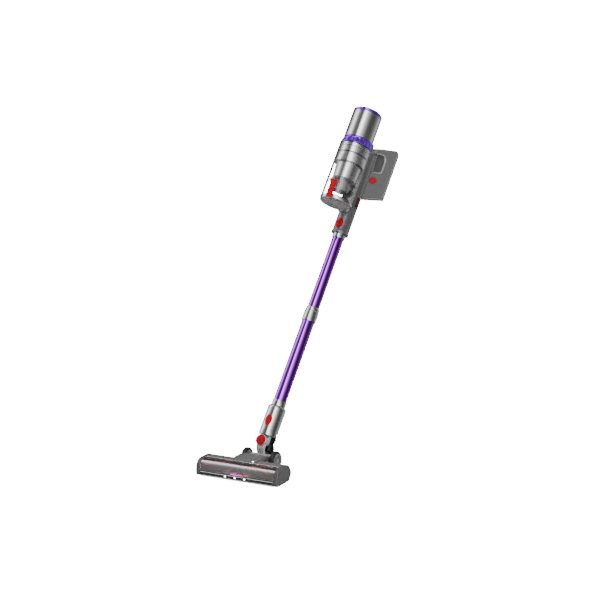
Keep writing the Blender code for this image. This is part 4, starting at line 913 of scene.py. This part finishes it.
def sleeve(name, node, inner, body, finish, edge, rings=()):
    """A tube or a collar with soft ends and fine grooves round it."""
    outer = radius_of(node)
    low, high = [corner.z for corner in span(node, STICK)]
    profile = [(inner, low), (outer - edge, low), (outer - 0.3 * edge, low + 0.3 * edge),
               (outer, low + edge)]
    for up in rings:
        profile += [(outer, up - 0.0004), (outer - 0.0004, up - 0.0002),
                    (outer - 0.0004, up + 0.0002), (outer, up + 0.0004)]
    profile += [(outer, high - edge), (outer - 0.3 * edge, high - 0.3 * edge),
                (outer - edge, high), (inner, high)]
    put(turned(name, profile), STICK, body, finish, node)


def telescopic_lock():
    """Collar that the upper tube slides through, with the lock on its back."""
    low, high = span("telescope_collar", STICK)
    outer = radius_of("telescope_collar")
    step = low.z + 0.0150
    slide = UPPER_R + GAP
    profile = [(LOWER_R + GAP, low.z), (outer - 0.0010, low.z), (outer - 0.0002, low.z + 0.0004),
               (outer, low.z + 0.0012), (outer, low.z + 0.0030), (outer - 0.0004, low.z + 0.0032),
               (outer - 0.0004, low.z + 0.0036), (outer, low.z + 0.0038), (outer, low.z + 0.0290),
               (outer - 0.0003, low.z + 0.0303), (outer - 0.0010, low.z + 0.0312),
               (outer - 0.0012, high.z - 0.0030), (outer - 0.0018, high.z - 0.0012),
               (UPPER_R + 0.0014, high.z), (slide, high.z), (slide, step), (LOWER_R + GAP, step)]
    ramp = pillow("ramp", smooth_outline([
        (0.0190, 0.3725), (0.0235, 0.3725, 0.001), (0.0235, 0.4000, 0.003),
        (0.0190, 0.4040)], 6), -0.0085, 0.0085, edge=0.0012, steps=4)
    collar = join(turned("lock_collar", profile), ramp)
    bore = rod("bore", slide, 0.36, 0.43, steps=ROUND)
    wide = rod("wide", LOWER_R + GAP, 0.36, step, steps=ROUND)
    room = box("room", (-0.0062, 0.0218, 0.3745), (0.0062, 0.03, 0.3955))
    put(cut(collar, bore, wide, room), STICK, "lower_wand", SILVER, "telescope_collar",
        bevel=0.0002)

    lock = pillow("lock_slider", smooth_outline([
        (0.0221, 0.3810), (0.0250, 0.3810, 0.0012), (0.0268, 0.3880, 0.0014),
        (0.0250, 0.3950, 0.0012), (0.0221, 0.3950)], 5), -0.0057, 0.0057, edge=0.0008)
    ribs = [box("rib", (-0.0045, 0.0250, up), (0.0045, 0.03, up + 0.0007))
            for up in (0.3835, 0.3855, 0.3875, 0.3895, 0.3915)]
    put(cut(lock, *ribs), STICK, "telescope_lock", DARK, "telescope_lock", bevel=0.0001)


# ---------------------------------------------------------------- main body
BIN_TOP = span("dust_bin", STICK)[1].z
BIN_R = radius_of("motor_ring")
RING_TOP = span("motor_ring", STICK)[1].z + GAP
MOTOR_R = radius_of("motor_housing")
LID_HINGE = STICK.inverted() @ Vector(joints["bin_lid_hinge"]["pos_m"])
LID_PIN = (0.0, *LID_HINGE.yz)
LID_PIN_R = 0.0018              # of the holes round the lid's pin
LATCH_PIN = (0.0, *(STICK.inverted() @ Vector(joints["bin_latch_hinge"]["pos_m"])).yz)
BODY = (0.0, -0.084, 0.0)       # axis of the bin, the cyclone and the motor


def chassis():
    """Wand socket and air duct, the spine behind the bin and the arm to the motor."""
    duct, socket, base, top = 0.025, 0.0197, 0.650, 0.915
    outer = [
        (socket, base), (0.0252, base), (0.0260, base + 0.0004), (0.0263, base + 0.0012),
        (0.0263, base + 0.0045), (0.0261, base + 0.0055), (duct - 0.0003, base + 0.0085),
        (duct, 0.700), (duct, 0.7325), (duct - 0.0005, 0.7329), (duct - 0.0005, 0.7335),
        (duct, 0.7339), (duct, top - 0.0015), (duct - 0.0005, top - 0.0004),
        (duct - 0.0015, top), (0.0, top), (0.0, 0.885), (0.0165, 0.885), (0.0165, 0.700),
        (socket, 0.700),
    ]
    body = turned("duct_body", outer)
    spine = pillow("spine", [(-0.0385, 0.7300), (-0.0190, 0.7300), (-0.0190, 0.9148),
                             (-0.0385, 0.9148)], -0.0150, 0.0150, edge=0.0012)
    arm = pillow("arm", smooth_outline([
        (-0.0560, 0.8955), (-0.0100, 0.8955), (-0.0100, 0.9150),
        (-0.0180, 0.9400, 0.006), (-0.0560, 0.9400)], 8), -0.0200, 0.0200, edge=0.002, steps=4)
    lug = pillow("lug", smooth_outline([
        (LID_HINGE.y - 0.0034, LID_HINGE.z - 0.0034, 0.0032),
        (-0.0200, LID_HINGE.z - 0.0034), (-0.0200, 0.7330),
        (LID_HINGE.y - 0.0034, 0.7330)], 8), -0.0150, 0.0150, edge=0.0006)
    body = join(body, spine, arm, lug)
    rooms = [
        rod("room", 0.0491, 0.718, RING_TOP, "Z", BODY, ROUND),
        box("room", (-0.0093, -0.0400, 0.7085), (0.0093, -0.0255, 0.7187)),
        box("room", (-0.0160, -0.0400, 0.70), (0.0160, -0.0341, 0.7192)),
        rod("room", MOTOR_R + GAP, 0.90, 0.96, "Z", BODY, ROUND),
        rod("hole", LID_PIN_R, -0.03, 0.03, "X", LID_PIN),
        box("port", (-0.0100, -0.06, 0.8490), (0.0100, 0.0, 0.8750)),
        box("stem", (-0.0055, 0.0125, 0.8880), (0.0055, 0.0300, 0.9090)),
        button_seat("Y", WAND_BUTTON, 0.677, 0.0211),
        button_seat("X", slider_outline(0.736), 0.756, 0.0222),
    ]
    on_body(cut(body, *rooms), GUNMETAL, "chassis", bevel=0.0003)


def inlet_room(front=-0.06):
    """Where the air comes in through the walls of the bin and the cyclone."""
    return box("inlet", (-0.0095, front, 0.8495), (0.0095, -0.02, 0.8745))


def dust_bin():
    """Clear bin wall with a thicker lip at its foot and the lugs of the latch."""
    inner = BIN_R - 0.002
    low, top = 0.719, BIN_TOP
    profile = [(inner, low), (BIN_R + 0.0006, low), (BIN_R + 0.0010, low + 0.0006),
               (BIN_R + 0.0010, low + 0.0034), (BIN_R + 0.0006, low + 0.0042),
               (BIN_R, low + 0.0048), (BIN_R, top - 0.0008), (BIN_R - 0.0006, top),
               (inner, top)]
    wall = turned("bin_wall", profile, at=BODY)
    lugs = [prism("lug", smooth_outline([
        (-0.1385, 0.7575, 0.0035), (-0.1385, 0.7655, 0.0035), (-0.1290, 0.7655),
        (-0.1290, 0.7575)], 6), *sorted((side * 0.0132, side * 0.0158)))
        for side in (-1, 1)]
    wall = join(wall, *lugs)
    hollow = rod("hollow", inner, low - 0.01, top + 0.01, at=BODY, steps=ROUND)
    behind = box("behind", (-0.0160, -0.0353, low - 0.01), (0.0160, -0.02, low + 0.02))
    pin_hole = rod("hole", 0.0014, -0.02, 0.02, "X", LATCH_PIN)
    on_body(cut(wall, hollow, inlet_room(-0.05), behind, pin_hole), CLEAR, "dust_bin", bevel=0.0002)


def bin_latch():
    """Upright latch plate with a rounded top, finger dents at its foot and its pins."""
    low = span("bin_latch", STICK)[0].z
    plate = pillow("latch_plate", smooth_outline([
        (-0.1380, low, 0.001), (-0.1345, low, 0.001), (-0.1345, 0.7560, 0.004),
        (-0.1340, 0.7655, 0.001), (-0.1365, 0.7675, 0.0012), (-0.1383, 0.7640, 0.003),
        (-0.1388, 0.7350, 0.02)], 6), -0.0090, 0.0090, edge=0.0006)
    face = smooth_outline([
        (-0.0090, 0.700), (0.0090, 0.700), (0.0090, 0.7672, 0.008),
        (-0.0090, 0.7672, 0.008)], 12)
    plate = keep_inside(plate, prism("face", face, -0.15, -0.12, "Y"))
    pins = rod("pins", 0.0011, -0.0156, 0.0156, "X", LATCH_PIN, 24)
    plate = join(plate, pins)
    dents = [box("dent", (-0.0062, -0.15, up), (0.0062, -0.1382, up + 0.0009))
             for up in (0.7150, 0.7180, 0.7210)]
    put(cut(plate, *dents), STICK, "bin_latch", RED, "bin_latch", bevel=0.0004)


def bin_lid():
    """Hinged lid: silver ring, smoked panel with moulded rings, and the seal."""
    low, high = 0.7105, 0.7187
    rim_in = 0.0400
    profile = [(rim_in, low + 0.0004), (rim_in + 0.0006, low), (BIN_R - 0.0014, low),
               (BIN_R - 0.0004, low + 0.0004), (BIN_R, low + 0.0014), (BIN_R, high - 0.0004),
               (BIN_R - 0.0004, high), (rim_in, high)]
    rim = turned("lid_ring", profile, at=BODY)
    knuckle = rod("knuckle", 0.0033, -0.0088, 0.0088, "X", LID_PIN, edge=0.0003)
    bridge = box("bridge", (-0.0088, -0.0395, low + 0.001), (0.0088, LID_HINGE.y, 0.7172))
    hole = rod("hole", LID_PIN_R, -0.03, 0.03, "X", LID_PIN)
    put(cut(join(rim, bridge, knuckle), hole), STICK, "bin_lid", SILVER, "bin_lid_rim",
        bevel=0.0003)
    floor = low + 0.0018
    panel = [(0.0, floor), (0.0140, floor), (0.0144, floor - 0.0006), (0.0152, floor - 0.0006),
             (0.0156, floor), (0.0330, floor), (0.0345, low + 0.0009), (0.0360, low + 0.0005),
             (rim_in - GAP, low + 0.0005),
             (rim_in - GAP, high - 0.0018), (0.0, high - 0.0018)]
    put(turned("lid_panel", panel, at=BODY), STICK, "bin_lid", SMOKE, "bin_lid_panel")
    seal_out = BIN_R - 0.0027
    seal = [(seal_out - 0.0025, 0.7191), (seal_out - 0.0004, 0.7191), (seal_out, 0.7195),
            (seal_out - 0.0003, 0.7204), (seal_out, 0.7212), (seal_out - 0.0004, 0.7216),
            (seal_out - 0.0025, 0.7216)]
    put(turned("lid_gasket", seal, at=BODY), STICK, "bin_lid", TYRE, "lid_seal")


def cyclone():
    """Silver housing with a seam, narrowing shroud, perforated skirt and dust cone."""
    out, inner, low, high = 0.0455, 0.0435, 0.8330, 0.8910
    profile = [(0.0385, low), (out - 0.0012, low), (out - 0.0003, low + 0.0004),
               (out, low + 0.0014), (out, 0.8602), (out - 0.0012, 0.8606), (out - 0.0012, 0.8638),
               (out, 0.8642), (out, 0.8806), (out - 0.0008, 0.8812), (out - 0.0008, 0.8822),
               (out, 0.8828), (out, high), (inner, high), (inner, low + 0.0020),
               (0.0385, low + 0.0020)]
    # The housing takes the lighter copy of the silver: painted light on it.
    housing = turned("cyclone_body", profile, at=BODY)
    on_body(cut(housing, inlet_room()), PAINTED_LIT_SILVER, "cyclone_housing", bevel=0.0002)
    # Dark rings in the two seam grooves, and a dark ring under the housing's lip that is painted
    # shade.
    seals_and_painted_shade = [hoop("seal", *sizes, at=BODY) for sizes in (
        (0.0436, 0.0447, 0.8608, 0.8636), (0.0436, 0.0449, 0.8811, 0.8823),
        (0.0386, 0.0446, 0.8322, 0.8329))]
    seals_and_painted_shade = cut(merge("cyclone_seals_and_painted_shade", seals_and_painted_shade), inlet_room())
    on_body(seals_and_painted_shade, DARK, slot="cyclone_housing")
    cone = [(0.0340, 0.7855), (0.0352, 0.7855), (0.0353, 0.7880), (0.0349, 0.7884),
            (0.0350, 0.7892), (0.0355, 0.7896), (0.0380, 0.8326), (0.0380, 0.8347),
            (0.0368, 0.8347), (0.0368, 0.8326)]
    # The shroud takes the lighter copy of the silver too: painted light on it.
    on_body(turned("shroud_body", cone, at=BODY), PAINTED_LIT_SILVER, "shroud_cone")
    skirt = [(0.0335, 0.7852), (0.0352, 0.7852), (0.0398, 0.7775), (0.0398, 0.7755),
             (0.0385, 0.7755), (0.0335, 0.7835)]
    on_body(turned("skirt_mesh", skirt, at=BODY), MESH, "mesh_skirt")
    dust = [(0.0205, 0.7500), (0.0222, 0.7500), (0.0225, 0.7504), (0.0285, 0.7830),
            (0.0332, 0.7830), (0.0332, 0.7845), (0.0265, 0.7845)]
    on_body(turned("cone_body", dust, at=BODY), MIDGREY, "dust_cone")


def motor():
    """Faceted violet ring, silver housing, violet filter cap and the round display."""
    base = BIN_TOP + GAP
    facets = 24

    def faceted(radius, height, k):
        if radius < 0.0425 or height > RING_TOP - 0.0060 or height < base + 0.002:
            return radius
        dip = abs(k % (ROUND // facets) - ROUND / facets / 2.0) / (ROUND / facets / 2.0)
        return radius - 0.0019 * dip

    ring = [(0.0405, base), (BIN_R - 0.0006, base), (BIN_R, base + 0.0006),
            (BIN_R, base + 0.0016), (BIN_R - 0.0003, base + 0.0037), (0.0453, RING_TOP - 0.0080),
            (0.0443, RING_TOP - 0.0055), (MOTOR_R - 0.0003, RING_TOP - 0.0050),
            (MOTOR_R - 0.0006, RING_TOP - GAP), (0.0395, RING_TOP - GAP)]
    ring = turned("violet_ring", ring, ROUND, "Z", BODY, faceted)
    behind = box("behind", (-0.0205, -0.0470, 0.89), (0.0205, -0.02, 0.93))
    on_body(cut(ring, behind), VIOLET, "motor_ring", sharp=12.0)

    top, cap_top = 0.9985, 1.0105
    inner = MOTOR_R - 0.0022
    shell = [(inner, RING_TOP), (MOTOR_R - 0.0004, RING_TOP), (MOTOR_R, RING_TOP + 0.0005),
             (MOTOR_R, 0.9230), (MOTOR_R - 0.0004, 0.9233), (MOTOR_R - 0.0004, 0.9239),
             (MOTOR_R, 0.9242), (MOTOR_R, top - 0.0006), (MOTOR_R - 0.0005, top),
             (0.0365, top), (0.0365, top - 0.003), (inner, top - 0.003)]
    on_body(turned("motor_shell", shell, at=BODY), SILVER, "motor_housing")

    edge = 0.0058
    cap = [(0.0, top + GAP), (MOTOR_R, top + GAP)]
    cap += arc((MOTOR_R - edge, cap_top - edge), edge, 0, 90, 14)
    cap += [(0.0305, cap_top), (0.0300, cap_top - 0.0004), (0.0293, cap_top - 0.0004),
            (0.0293, cap_top - 0.0025), (0.0, cap_top - 0.0025)]
    put(turned("violet_cap", cap, at=BODY), STICK, "filter_cap", VIOLET, "filter_cap")

    face = [(0.0, cap_top - 0.0022), (0.0290, cap_top - 0.0022), (0.0290, cap_top - 0.0002),
            (0.0286, cap_top + 0.0002), (0.0, cap_top + 0.0002)]
    disc = turned("display_face", face, at=BODY)
    groove = hoop("groove", 0.0212, 0.0222, cap_top - 0.0004, cap_top + 0.01, at=BODY)
    put(cut(disc, groove), STICK, "filter_cap", BLACK, "display_panel")
    lit = hoop("display_ring", 0.0213, 0.0221, cap_top - 0.0003, cap_top, at=BODY)
    put(lit, STICK, "filter_cap", SIGN, slot="display_panel")


# ---------------------------------------------------------------- handle
SCREWS = ((0.1230, 0.9640), (0.1230, 0.8480), (0.0860, 0.8840))
SCREW_SIDES = 36
BLOCK_SLOPE = 0.45              # how the handle block's foot rises to the back
BLOCK_HALF = span("handle_right", STICK)[1].x
PACK_FRONT = span("battery_pack", STICK)[0].y
PACK_FOOT = 0.0085


def block_low(back, rise=0.0):
    """Height of the block's foot at a place from front to back."""
    return 0.7705 + (back - 0.006) * BLOCK_SLOPE + rise


def block_outline(inset=0.0):
    """Side outline of the handle block, or of its hollow at an inset."""
    front, back = 0.006 + inset, 0.149 - inset
    rise = inset * math.hypot(1.0, BLOCK_SLOPE)
    high = [0.938 + (at - 0.006) * 0.497 - rise for at in (front, back)]
    return smooth_outline([
        (front, block_low(front, rise), max(0.0, 0.006 - inset)),
        (back, block_low(back, rise), max(0.0, 0.008 - inset)),
        (back, high[1], 0.022 - inset),
        (front, high[0], max(0.0, 0.007 - inset)),
    ], 14)


def finger_outline():
    return smooth_outline([
        (0.0100, 0.8675, 0.010), (0.0710, 0.8935, 0.014), (0.0710, 0.9490, 0.016),
        (0.0100, 0.9270, 0.006),
    ], 12)


def slanted_band(front, back, low, high):
    """A band along the block's sloping foot, between two rises over it."""
    return [
        (front, block_low(front, low)), (back, block_low(back, low)),
        (back, block_low(back, high)), (front, block_low(front, high)),
    ]


def battery_oval(extra=0.0):
    return oval(0.034, 0.8495, 0.046 + 2 * extra, 0.017 + 2 * extra, 72, BLOCK_SLOPE)


def mirrored(piece):
    """Turn a piece of the right side into the left side's."""
    piece.data.transform(Matrix.Scale(-1.0, 4, (1.0, 0.0, 0.0)))
    piece.data.flip_normals()
    return piece


def block_plan():
    """The handle block from above: square in front, round at the back."""
    return prism("plan", smooth_outline([
        (-BLOCK_HALF, -0.01), (BLOCK_HALF, -0.01), (BLOCK_HALF, 0.149, 0.010),
        (-BLOCK_HALF, 0.149, 0.010)], 16), 0.70, 1.10, "Z")


def through(name, outline):
    return prism(name, outline, -0.05, 0.05)


def duct_room():
    return rod("duct", 0.0253, 0.70, 1.0, steps=ROUND)


def handle_half(side):
    """One shell of the handle block; the pale line by its seam and its pale chamfered finger rim are
    painted highlights.
    """
    word = "right" if side > 0 else "left"
    half = pillow(f"handle_shell_{word}", block_outline(), GAP / 2, BLOCK_HALF, edge=0.0030,
                  steps=6, low_edge=False)
    half = keep_inside(half, block_plan())
    inner = BLOCK_HALF - 0.004
    hollow = prism("hollow", block_outline(0.0042), -inner, inner)
    hollow = cut(hollow, through("rim", grown(finger_outline(), 0.003)),
                 rod("sleeve", 0.028, 0.70, 1.0, steps=ROUND))
    hole = through("finger", finger_outline())
    foot = through("foot", slanted_band(PACK_FRONT - 0.0005, 0.17, -0.02, PACK_FOOT + 0.0005))
    rim_room = prism("rim_room", grown(finger_outline(), 0.0027), BLOCK_HALF - 0.0036, 0.05)
    seam = prism("seam", [(0.1328, 0.7), (0.1352, 0.7), (0.1352, 1.1), (0.1328, 1.1)],
                 BLOCK_HALF - 0.0015, 0.05)
    cuts = [hollow, hole, duct_room(), foot, rim_room, seam]
    if side > 0:
        cuts.append(prism("seat", battery_oval(0.0004), 0.0240, 0.05))
    else:
        cuts += [rod("screw_hole", 0.0028, 0.0235, 0.05, "X", (0.0, *spot)) for spot in SCREWS]
    half = cut(half, *cuts)
    finish = [(BLOCK_HALF - 0.0035, 0.0), (BLOCK_HALF - 0.0035, 0.0026),
              (BLOCK_HALF - 0.0002, 0.0026), (BLOCK_HALF + 0.0001, 0.0022),
              (BLOCK_HALF - 0.0002, 0.0017), (BLOCK_HALF - 0.0026, 0.0)]
    # The chamfered rim round the finger hole is pale: a painted highlight on it.
    rim = loft(f"finger_rim_{word}", [(at, grown(finger_outline(), out)) for at, out in finish],
               closed=True)
    rim = cut(rim, duct_room())
    # A pale strip beside the seam groove: a painted highlight line.
    trim = prism(f"handle_highlight_line_{word}", [
        (0.1300, block_low(0.1300, 0.0110)), (0.1326, block_low(0.1326, 0.0110)),
        (0.1326, 0.9949), (0.1300, 0.9936)], BLOCK_HALF - 0.0003, BLOCK_HALF + 0.0002)
    if side < 0:
        half, rim, trim = mirrored(half), mirrored(rim), mirrored(trim)
        head = [(0.0, -0.0236), (0.0026, -0.0236), (0.0026, -0.0246), (0.0020, -0.0250),
                (0.0010, -0.0250), (0.0010, -0.0242), (0.0, -0.0242)]
        heads = [turned("head", head, SCREW_SIDES, "X", (0.0, *spot)) for spot in SCREWS]
        on_body(merge("handle_screws", heads), STEEL, slot="handle_left")
    on_body(half, GREY, f"handle_{word}", bevel=0.0003)
    on_body(rim, PAINTED_HIGHLIGHT_SILVER, slot=f"handle_{word}", sharp=25.0)
    on_body(trim, PAINTED_HIGHLIGHT_SILVER, slot=f"handle_{word}", bevel=0.0001)


def trigger():
    """Finger pad with a grooved face, and the stem that carries it."""
    pad = pillow("trigger_pad", smooth_outline([
        (0.0300, 0.8800), (0.0350, 0.8790, 0.002), (0.0385, 0.8830, 0.003),
        (0.0372, 0.8960, 0.014), (0.0405, 0.9120, 0.003), (0.0300, 0.9120),
    ], 8), -0.0068, 0.0068, edge=0.0018, steps=5)
    ribs = [box("rib", (-0.0045, 0.0366, up), (0.0045, 0.05, up + 0.0008))
            for up in (0.8900, 0.8925, 0.8950, 0.8975, 0.9000)]
    pad = cut(join(pad, box("stem", (-0.0050, 0.0170, 0.8890), (0.0050, 0.0320, 0.9080))), *ribs)
    put(pad, STICK, "trigger", DARK, "trigger", bevel=0.0002)


def battery():
    """Battery cells in their sleeve, the foot that closes the handle, its port and button."""
    cells = pillow("battery_sleeve", slanted_band(PACK_FRONT, 0.1400, 0.0080, 0.060),
                   -0.0205, 0.0205, edge=0.002, steps=4)
    cells = keep_inside(cells, through("trim", block_outline()))
    put(cells, STICK, "battery_pack", DARK, slot="battery_pack", bevel=0.0003)
    wide = pillow("battery_foot", block_outline(), -BLOCK_HALF, BLOCK_HALF, edge=0.0030, steps=6)
    band = through("band", slanted_band(PACK_FRONT, 0.17, -0.02, PACK_FOOT))
    foot = keep_inside(wide, band, block_plan())
    port = box("port", (BLOCK_HALF - 0.004, 0.052, 0.77), (0.05, 0.064, 0.7965))
    lines = [prism("line", slanted_band(0.02, 0.2, 0.0056, 0.0063), *sorted(
        (side * (BLOCK_HALF - 0.0005), side * 0.05))) for side in (1, -1)]
    put(cut(foot, port, *lines), STICK, "battery_pack", GREY, "battery_pack", bevel=0.0004)
    # Pale strips along the foot's sides: painted highlight lines.
    strips = [prism("strip", slanted_band(0.0400, 0.1300, 0.0066, 0.0076),
                    *sorted((side * (BLOCK_HALF - 0.0002), side * (BLOCK_HALF + 0.0002))))
              for side in (-1, 1)]
    put(merge("battery_highlight_lines", strips), STICK, "battery_pack", PAINTED_HIGHLIGHT_SILVER, slot="battery_pack")
    pins = [rod("pin", 0.0008, BLOCK_HALF - 0.0041, BLOCK_HALF - 0.0015, "X", (0.0, at, up), 16)
            for at, up in ((0.0560, 0.7940), (0.0600, 0.7952))]
    put(merge("charge_pins", pins), STICK, "battery_pack", STEEL, slot="battery_pack")
    button = pillow("battery_button", battery_oval(), 0.0251, 0.0277, edge=0.0009, steps=5,
                    low_edge=False)
    put(button, STICK, "battery_release_button", RED, "battery_release_button")


# ---------------------------------------------------------------- CAD nodes that stay
KEPT = {
    "glide_strip": FELT, "brush_motor": STEEL, "motor_pulley": STEEL, "drive_belt": TYRE,
    "wheel_axle": STEEL, "steer_pin": STEEL, "lid_hinge_pin": STEEL, "pre_motor_filter": PAPER,
    "suction_motor": COPPER, "impeller": STEEL, "motor_mount": TYRE, "exhaust_filter": PAPER,
    "control_board": BOARD,
}


def finish_kept_nodes():
    """Give the CAD nodes that stay in view or inside a material of their own kind."""
    for name, finish in KEPT.items():
        for slot in frame["nodes"][name].material_slots:
            slot.material = finish


# ---------------------------------------------------------------- studio
BEARING = math.radians(27.33)   # how far the camera stands round to +X from straight in front
CAMERA_AT = Vector((1.5913, -2.761, 0.9846))
CAMERA_AIM = Vector((0.0183, 0.2832, 0.4528))
LENS = 71.93

# Light round the studio, seen only in reflections: the angle of each stop from the camera's side
# of the room, positive to the right, and the brightness there.
STRIPS = (
    (-180.0, 0.10), (-150.0, 0.06), (-134.0, 0.20), (-122.0, 1.2), (-110.0, 2.9), (-98.0, 2.5),
    (-86.0, 1.1), (-76.0, 0.45), (-65.0, 0.20), (-53.0, 0.17), (-42.0, 0.11), (-36.0, 0.10),
    (-29.0, 0.50), (-18.0, 3.4), (-7.0, 5.0), (3.0, 4.2), (11.0, 2.2), (20.0, 1.1), (30.0, 0.60),
    (40.0, 0.26), (49.0, 0.12), (57.0, 0.07), (70.0, 0.06), (77.0, 0.10), (90.0, 0.18),
    (101.0, 0.34), (115.0, 0.62), (130.0, 0.55), (145.0, 0.06), (180.0, 0.10),
)

# The same by height: sine of the elevation, how far it takes over from the strips, brightness.
BANDS = (
    (-1.0, 1.0, 0.25), (-0.60, 1.0, 0.25), (-0.45, 0.0, 0.25), (0.90, 0.0, 0.30), (0.95, 1.0, 0.30),
    (1.0, 1.0, 0.30),
)
WHITE_ROOM = 22.0               # what the camera sees behind the vacuum
SOFT_ROOM = 0.75                # what lights it from all round
STRIP_POWER = 1.3
FLOOR_LIFT = 0.80               # how far the floor is as bright as the room
FAR = 14.0                      # from the middle of the floor to its edges
LAMPS = (                       # place, aim, size and watts
    ("key", (2.2, -2.4, 2.6), (0.0, 0.2, 0.5), (1.6, 1.6), 45.0),
    ("fill", (-2.6, -1.2, 1.6), (0.0, 0.2, 0.5), (1.4, 2.0), 16.0),
    ("top", (0.0, 0.9, 3.2), (0.0, 0.2, 0.4), (1.8, 1.8), 75.0),
)


def stage():
    """Pale floor that the camera sees lit up like the room behind, and reflections don't see."""
    floor = bpy.data.meshes.new("floor")
    floor.from_pydata([(-FAR, -FAR, 0.0), (FAR, -FAR, 0.0), (FAR, FAR, 0.0), (-FAR, FAR, 0.0)],
                      [], [(0, 1, 2, 3)])
    plane = bpy.data.objects.new("floor", floor)
    bpy.context.scene.collection.objects.link(plane)
    mat = moulded("pale_floor", (0.90, 0.90, 0.90), 0.75, 0.0, 60.0, 0.01, 0.005, 0.03)
    net = Net(mat)
    seen = net.add("LightPath", {}, "Is Camera Ray")
    lit = net.add("Emission", {"Strength": WHITE_ROOM})
    share = net.add("Math", {0: seen, 1: FLOOR_LIFT}, operation="MULTIPLY")
    base = net.nodes["Principled BSDF"].outputs[0]
    floor_look = net.add("MixShader", {"Fac": share, 1: base, 2: lit})
    final = net.add("MixShader", {
        "Fac": net.add("LightPath", {}, "Is Glossy Ray"), 1: floor_look,
        2: net.add("BsdfTransparent", {})})
    net.feed(net.nodes["Material Output"], {"Surface": final})
    plane.data.materials.append(mat)


def room():
    """Soft even light, a white room behind, and upright strips of light in the reflections."""
    world = bpy.data.worlds.new("studio")
    bpy.context.scene.world = world
    net = Net(world)
    net.nodes.clear()
    turn = net.add("Mapping", {
        "Rotation": (0.0, 0.0, math.pi / 2.0 - BEARING),
        "Vector": net.add("TexCoord", {}, "Generated")}, vector_type="POINT")
    across, ahead, up = net.add("SeparateXYZ", {"Vector": turn}).node.outputs
    angle = net.add("Math", {0: ahead, 1: across}, operation="ARCTAN2")
    share = net.add("MapRange", {"Value": angle, "From Min": -math.pi, "From Max": math.pi})
    height = net.add("MapRange", {"Value": up, "From Min": -1.0})
    strips = net.ramp(share, [((edge + 180.0) / 360.0, level) for edge, level in STRIPS])
    takeover = net.ramp(height, [((rise + 1.0) / 2.0, weight) for rise, weight, level in BANDS])
    bands = net.ramp(height, [((rise + 1.0) / 2.0, level) for rise, weight, level in BANDS])
    pattern = net.add("Mix", {"Factor": takeover, "A": strips, "B": bands}, "Result",
                      data_type="RGBA")
    striped = net.add("Background", {"Color": pattern, "Strength": STRIP_POWER})
    soft, white = [net.add("Background", {"Strength": power}) for power in (SOFT_ROOM, WHITE_ROOM)]
    glossy = net.add("MixShader", {
        "Fac": net.add("LightPath", {}, "Is Glossy Ray"), 1: soft, 2: striped})
    seen = net.add("MixShader", {
        "Fac": net.add("LightPath", {}, "Is Camera Ray"), 1: glossy, 2: white})
    net.add("OutputWorld", {"Surface": seen})


def lamp(name, at, aim, size, power):
    light = bpy.data.lights.new(name, "AREA")
    light.shape = "RECTANGLE"
    light.size, light.size_y = size
    light.energy = power
    thing = bpy.data.objects.new(name, light)
    thing.location = at
    thing.rotation_euler = (Vector(aim) - Vector(at)).to_track_quat("-Z", "Y").to_euler()
    thing.visible_glossy = False
    bpy.context.scene.collection.objects.link(thing)


def camera():
    lens = bpy.data.cameras.new("camera")
    lens.lens = LENS
    lens.clip_end = 100.0
    thing = bpy.data.objects.new("camera", lens)
    thing.location = CAMERA_AT
    thing.rotation_euler = (CAMERA_AIM - CAMERA_AT).to_track_quat("-Z", "Y").to_euler()
    bpy.context.scene.collection.objects.link(thing)
    bpy.context.scene.camera = thing


def build():
    for side in (-1, 1):
        end_cap(side)
    head_base()
    rear_cover()
    clear_cover()
    light_bar()
    brush()
    wheels()
    lower_neck()
    pivot_cap()
    neck_hose()
    curved_button("neck_button_face", "Y", NECK_BUTTON, 0.0284, 0.0232, "neck_release_button", RED)
    neck_shell()
    sleeve("collar_low", "lower_collar", LOWER_R + GAP, "lower_wand", SILVER, 0.0009, (0.1210,))
    sleeve("tube_low", "lower_tube", LOWER_R - TUBE_WALL, "lower_wand", PURPLE, 0.0003)
    sleeve("tube_high", "upper_tube", UPPER_R - TUBE_WALL, "main_body", PURPLE, 0.0003)
    sleeve("collar_high", "wand_end_collar", UPPER_R + GAP, "main_body", SILVER, 0.0009, (0.6395,))
    telescopic_lock()
    chassis()
    curved_button("wand_button_face", "Y", WAND_BUTTON, 0.0268, 0.0221, "wand_release_button", RED)
    curved_button("bin_slider_face", "X", slider_outline(), 0.0270, 0.0228,
                  "bin_release_slider", RED_DARK)
    dust_bin()
    bin_latch()
    bin_lid()
    cyclone()
    motor()
    for side in (-1, 1):
        handle_half(side)
    trigger()
    battery()
    finish_kept_nodes()


build()
stage()
room()
for lamp_values in LAMPS:
    lamp(*lamp_values)
camera()
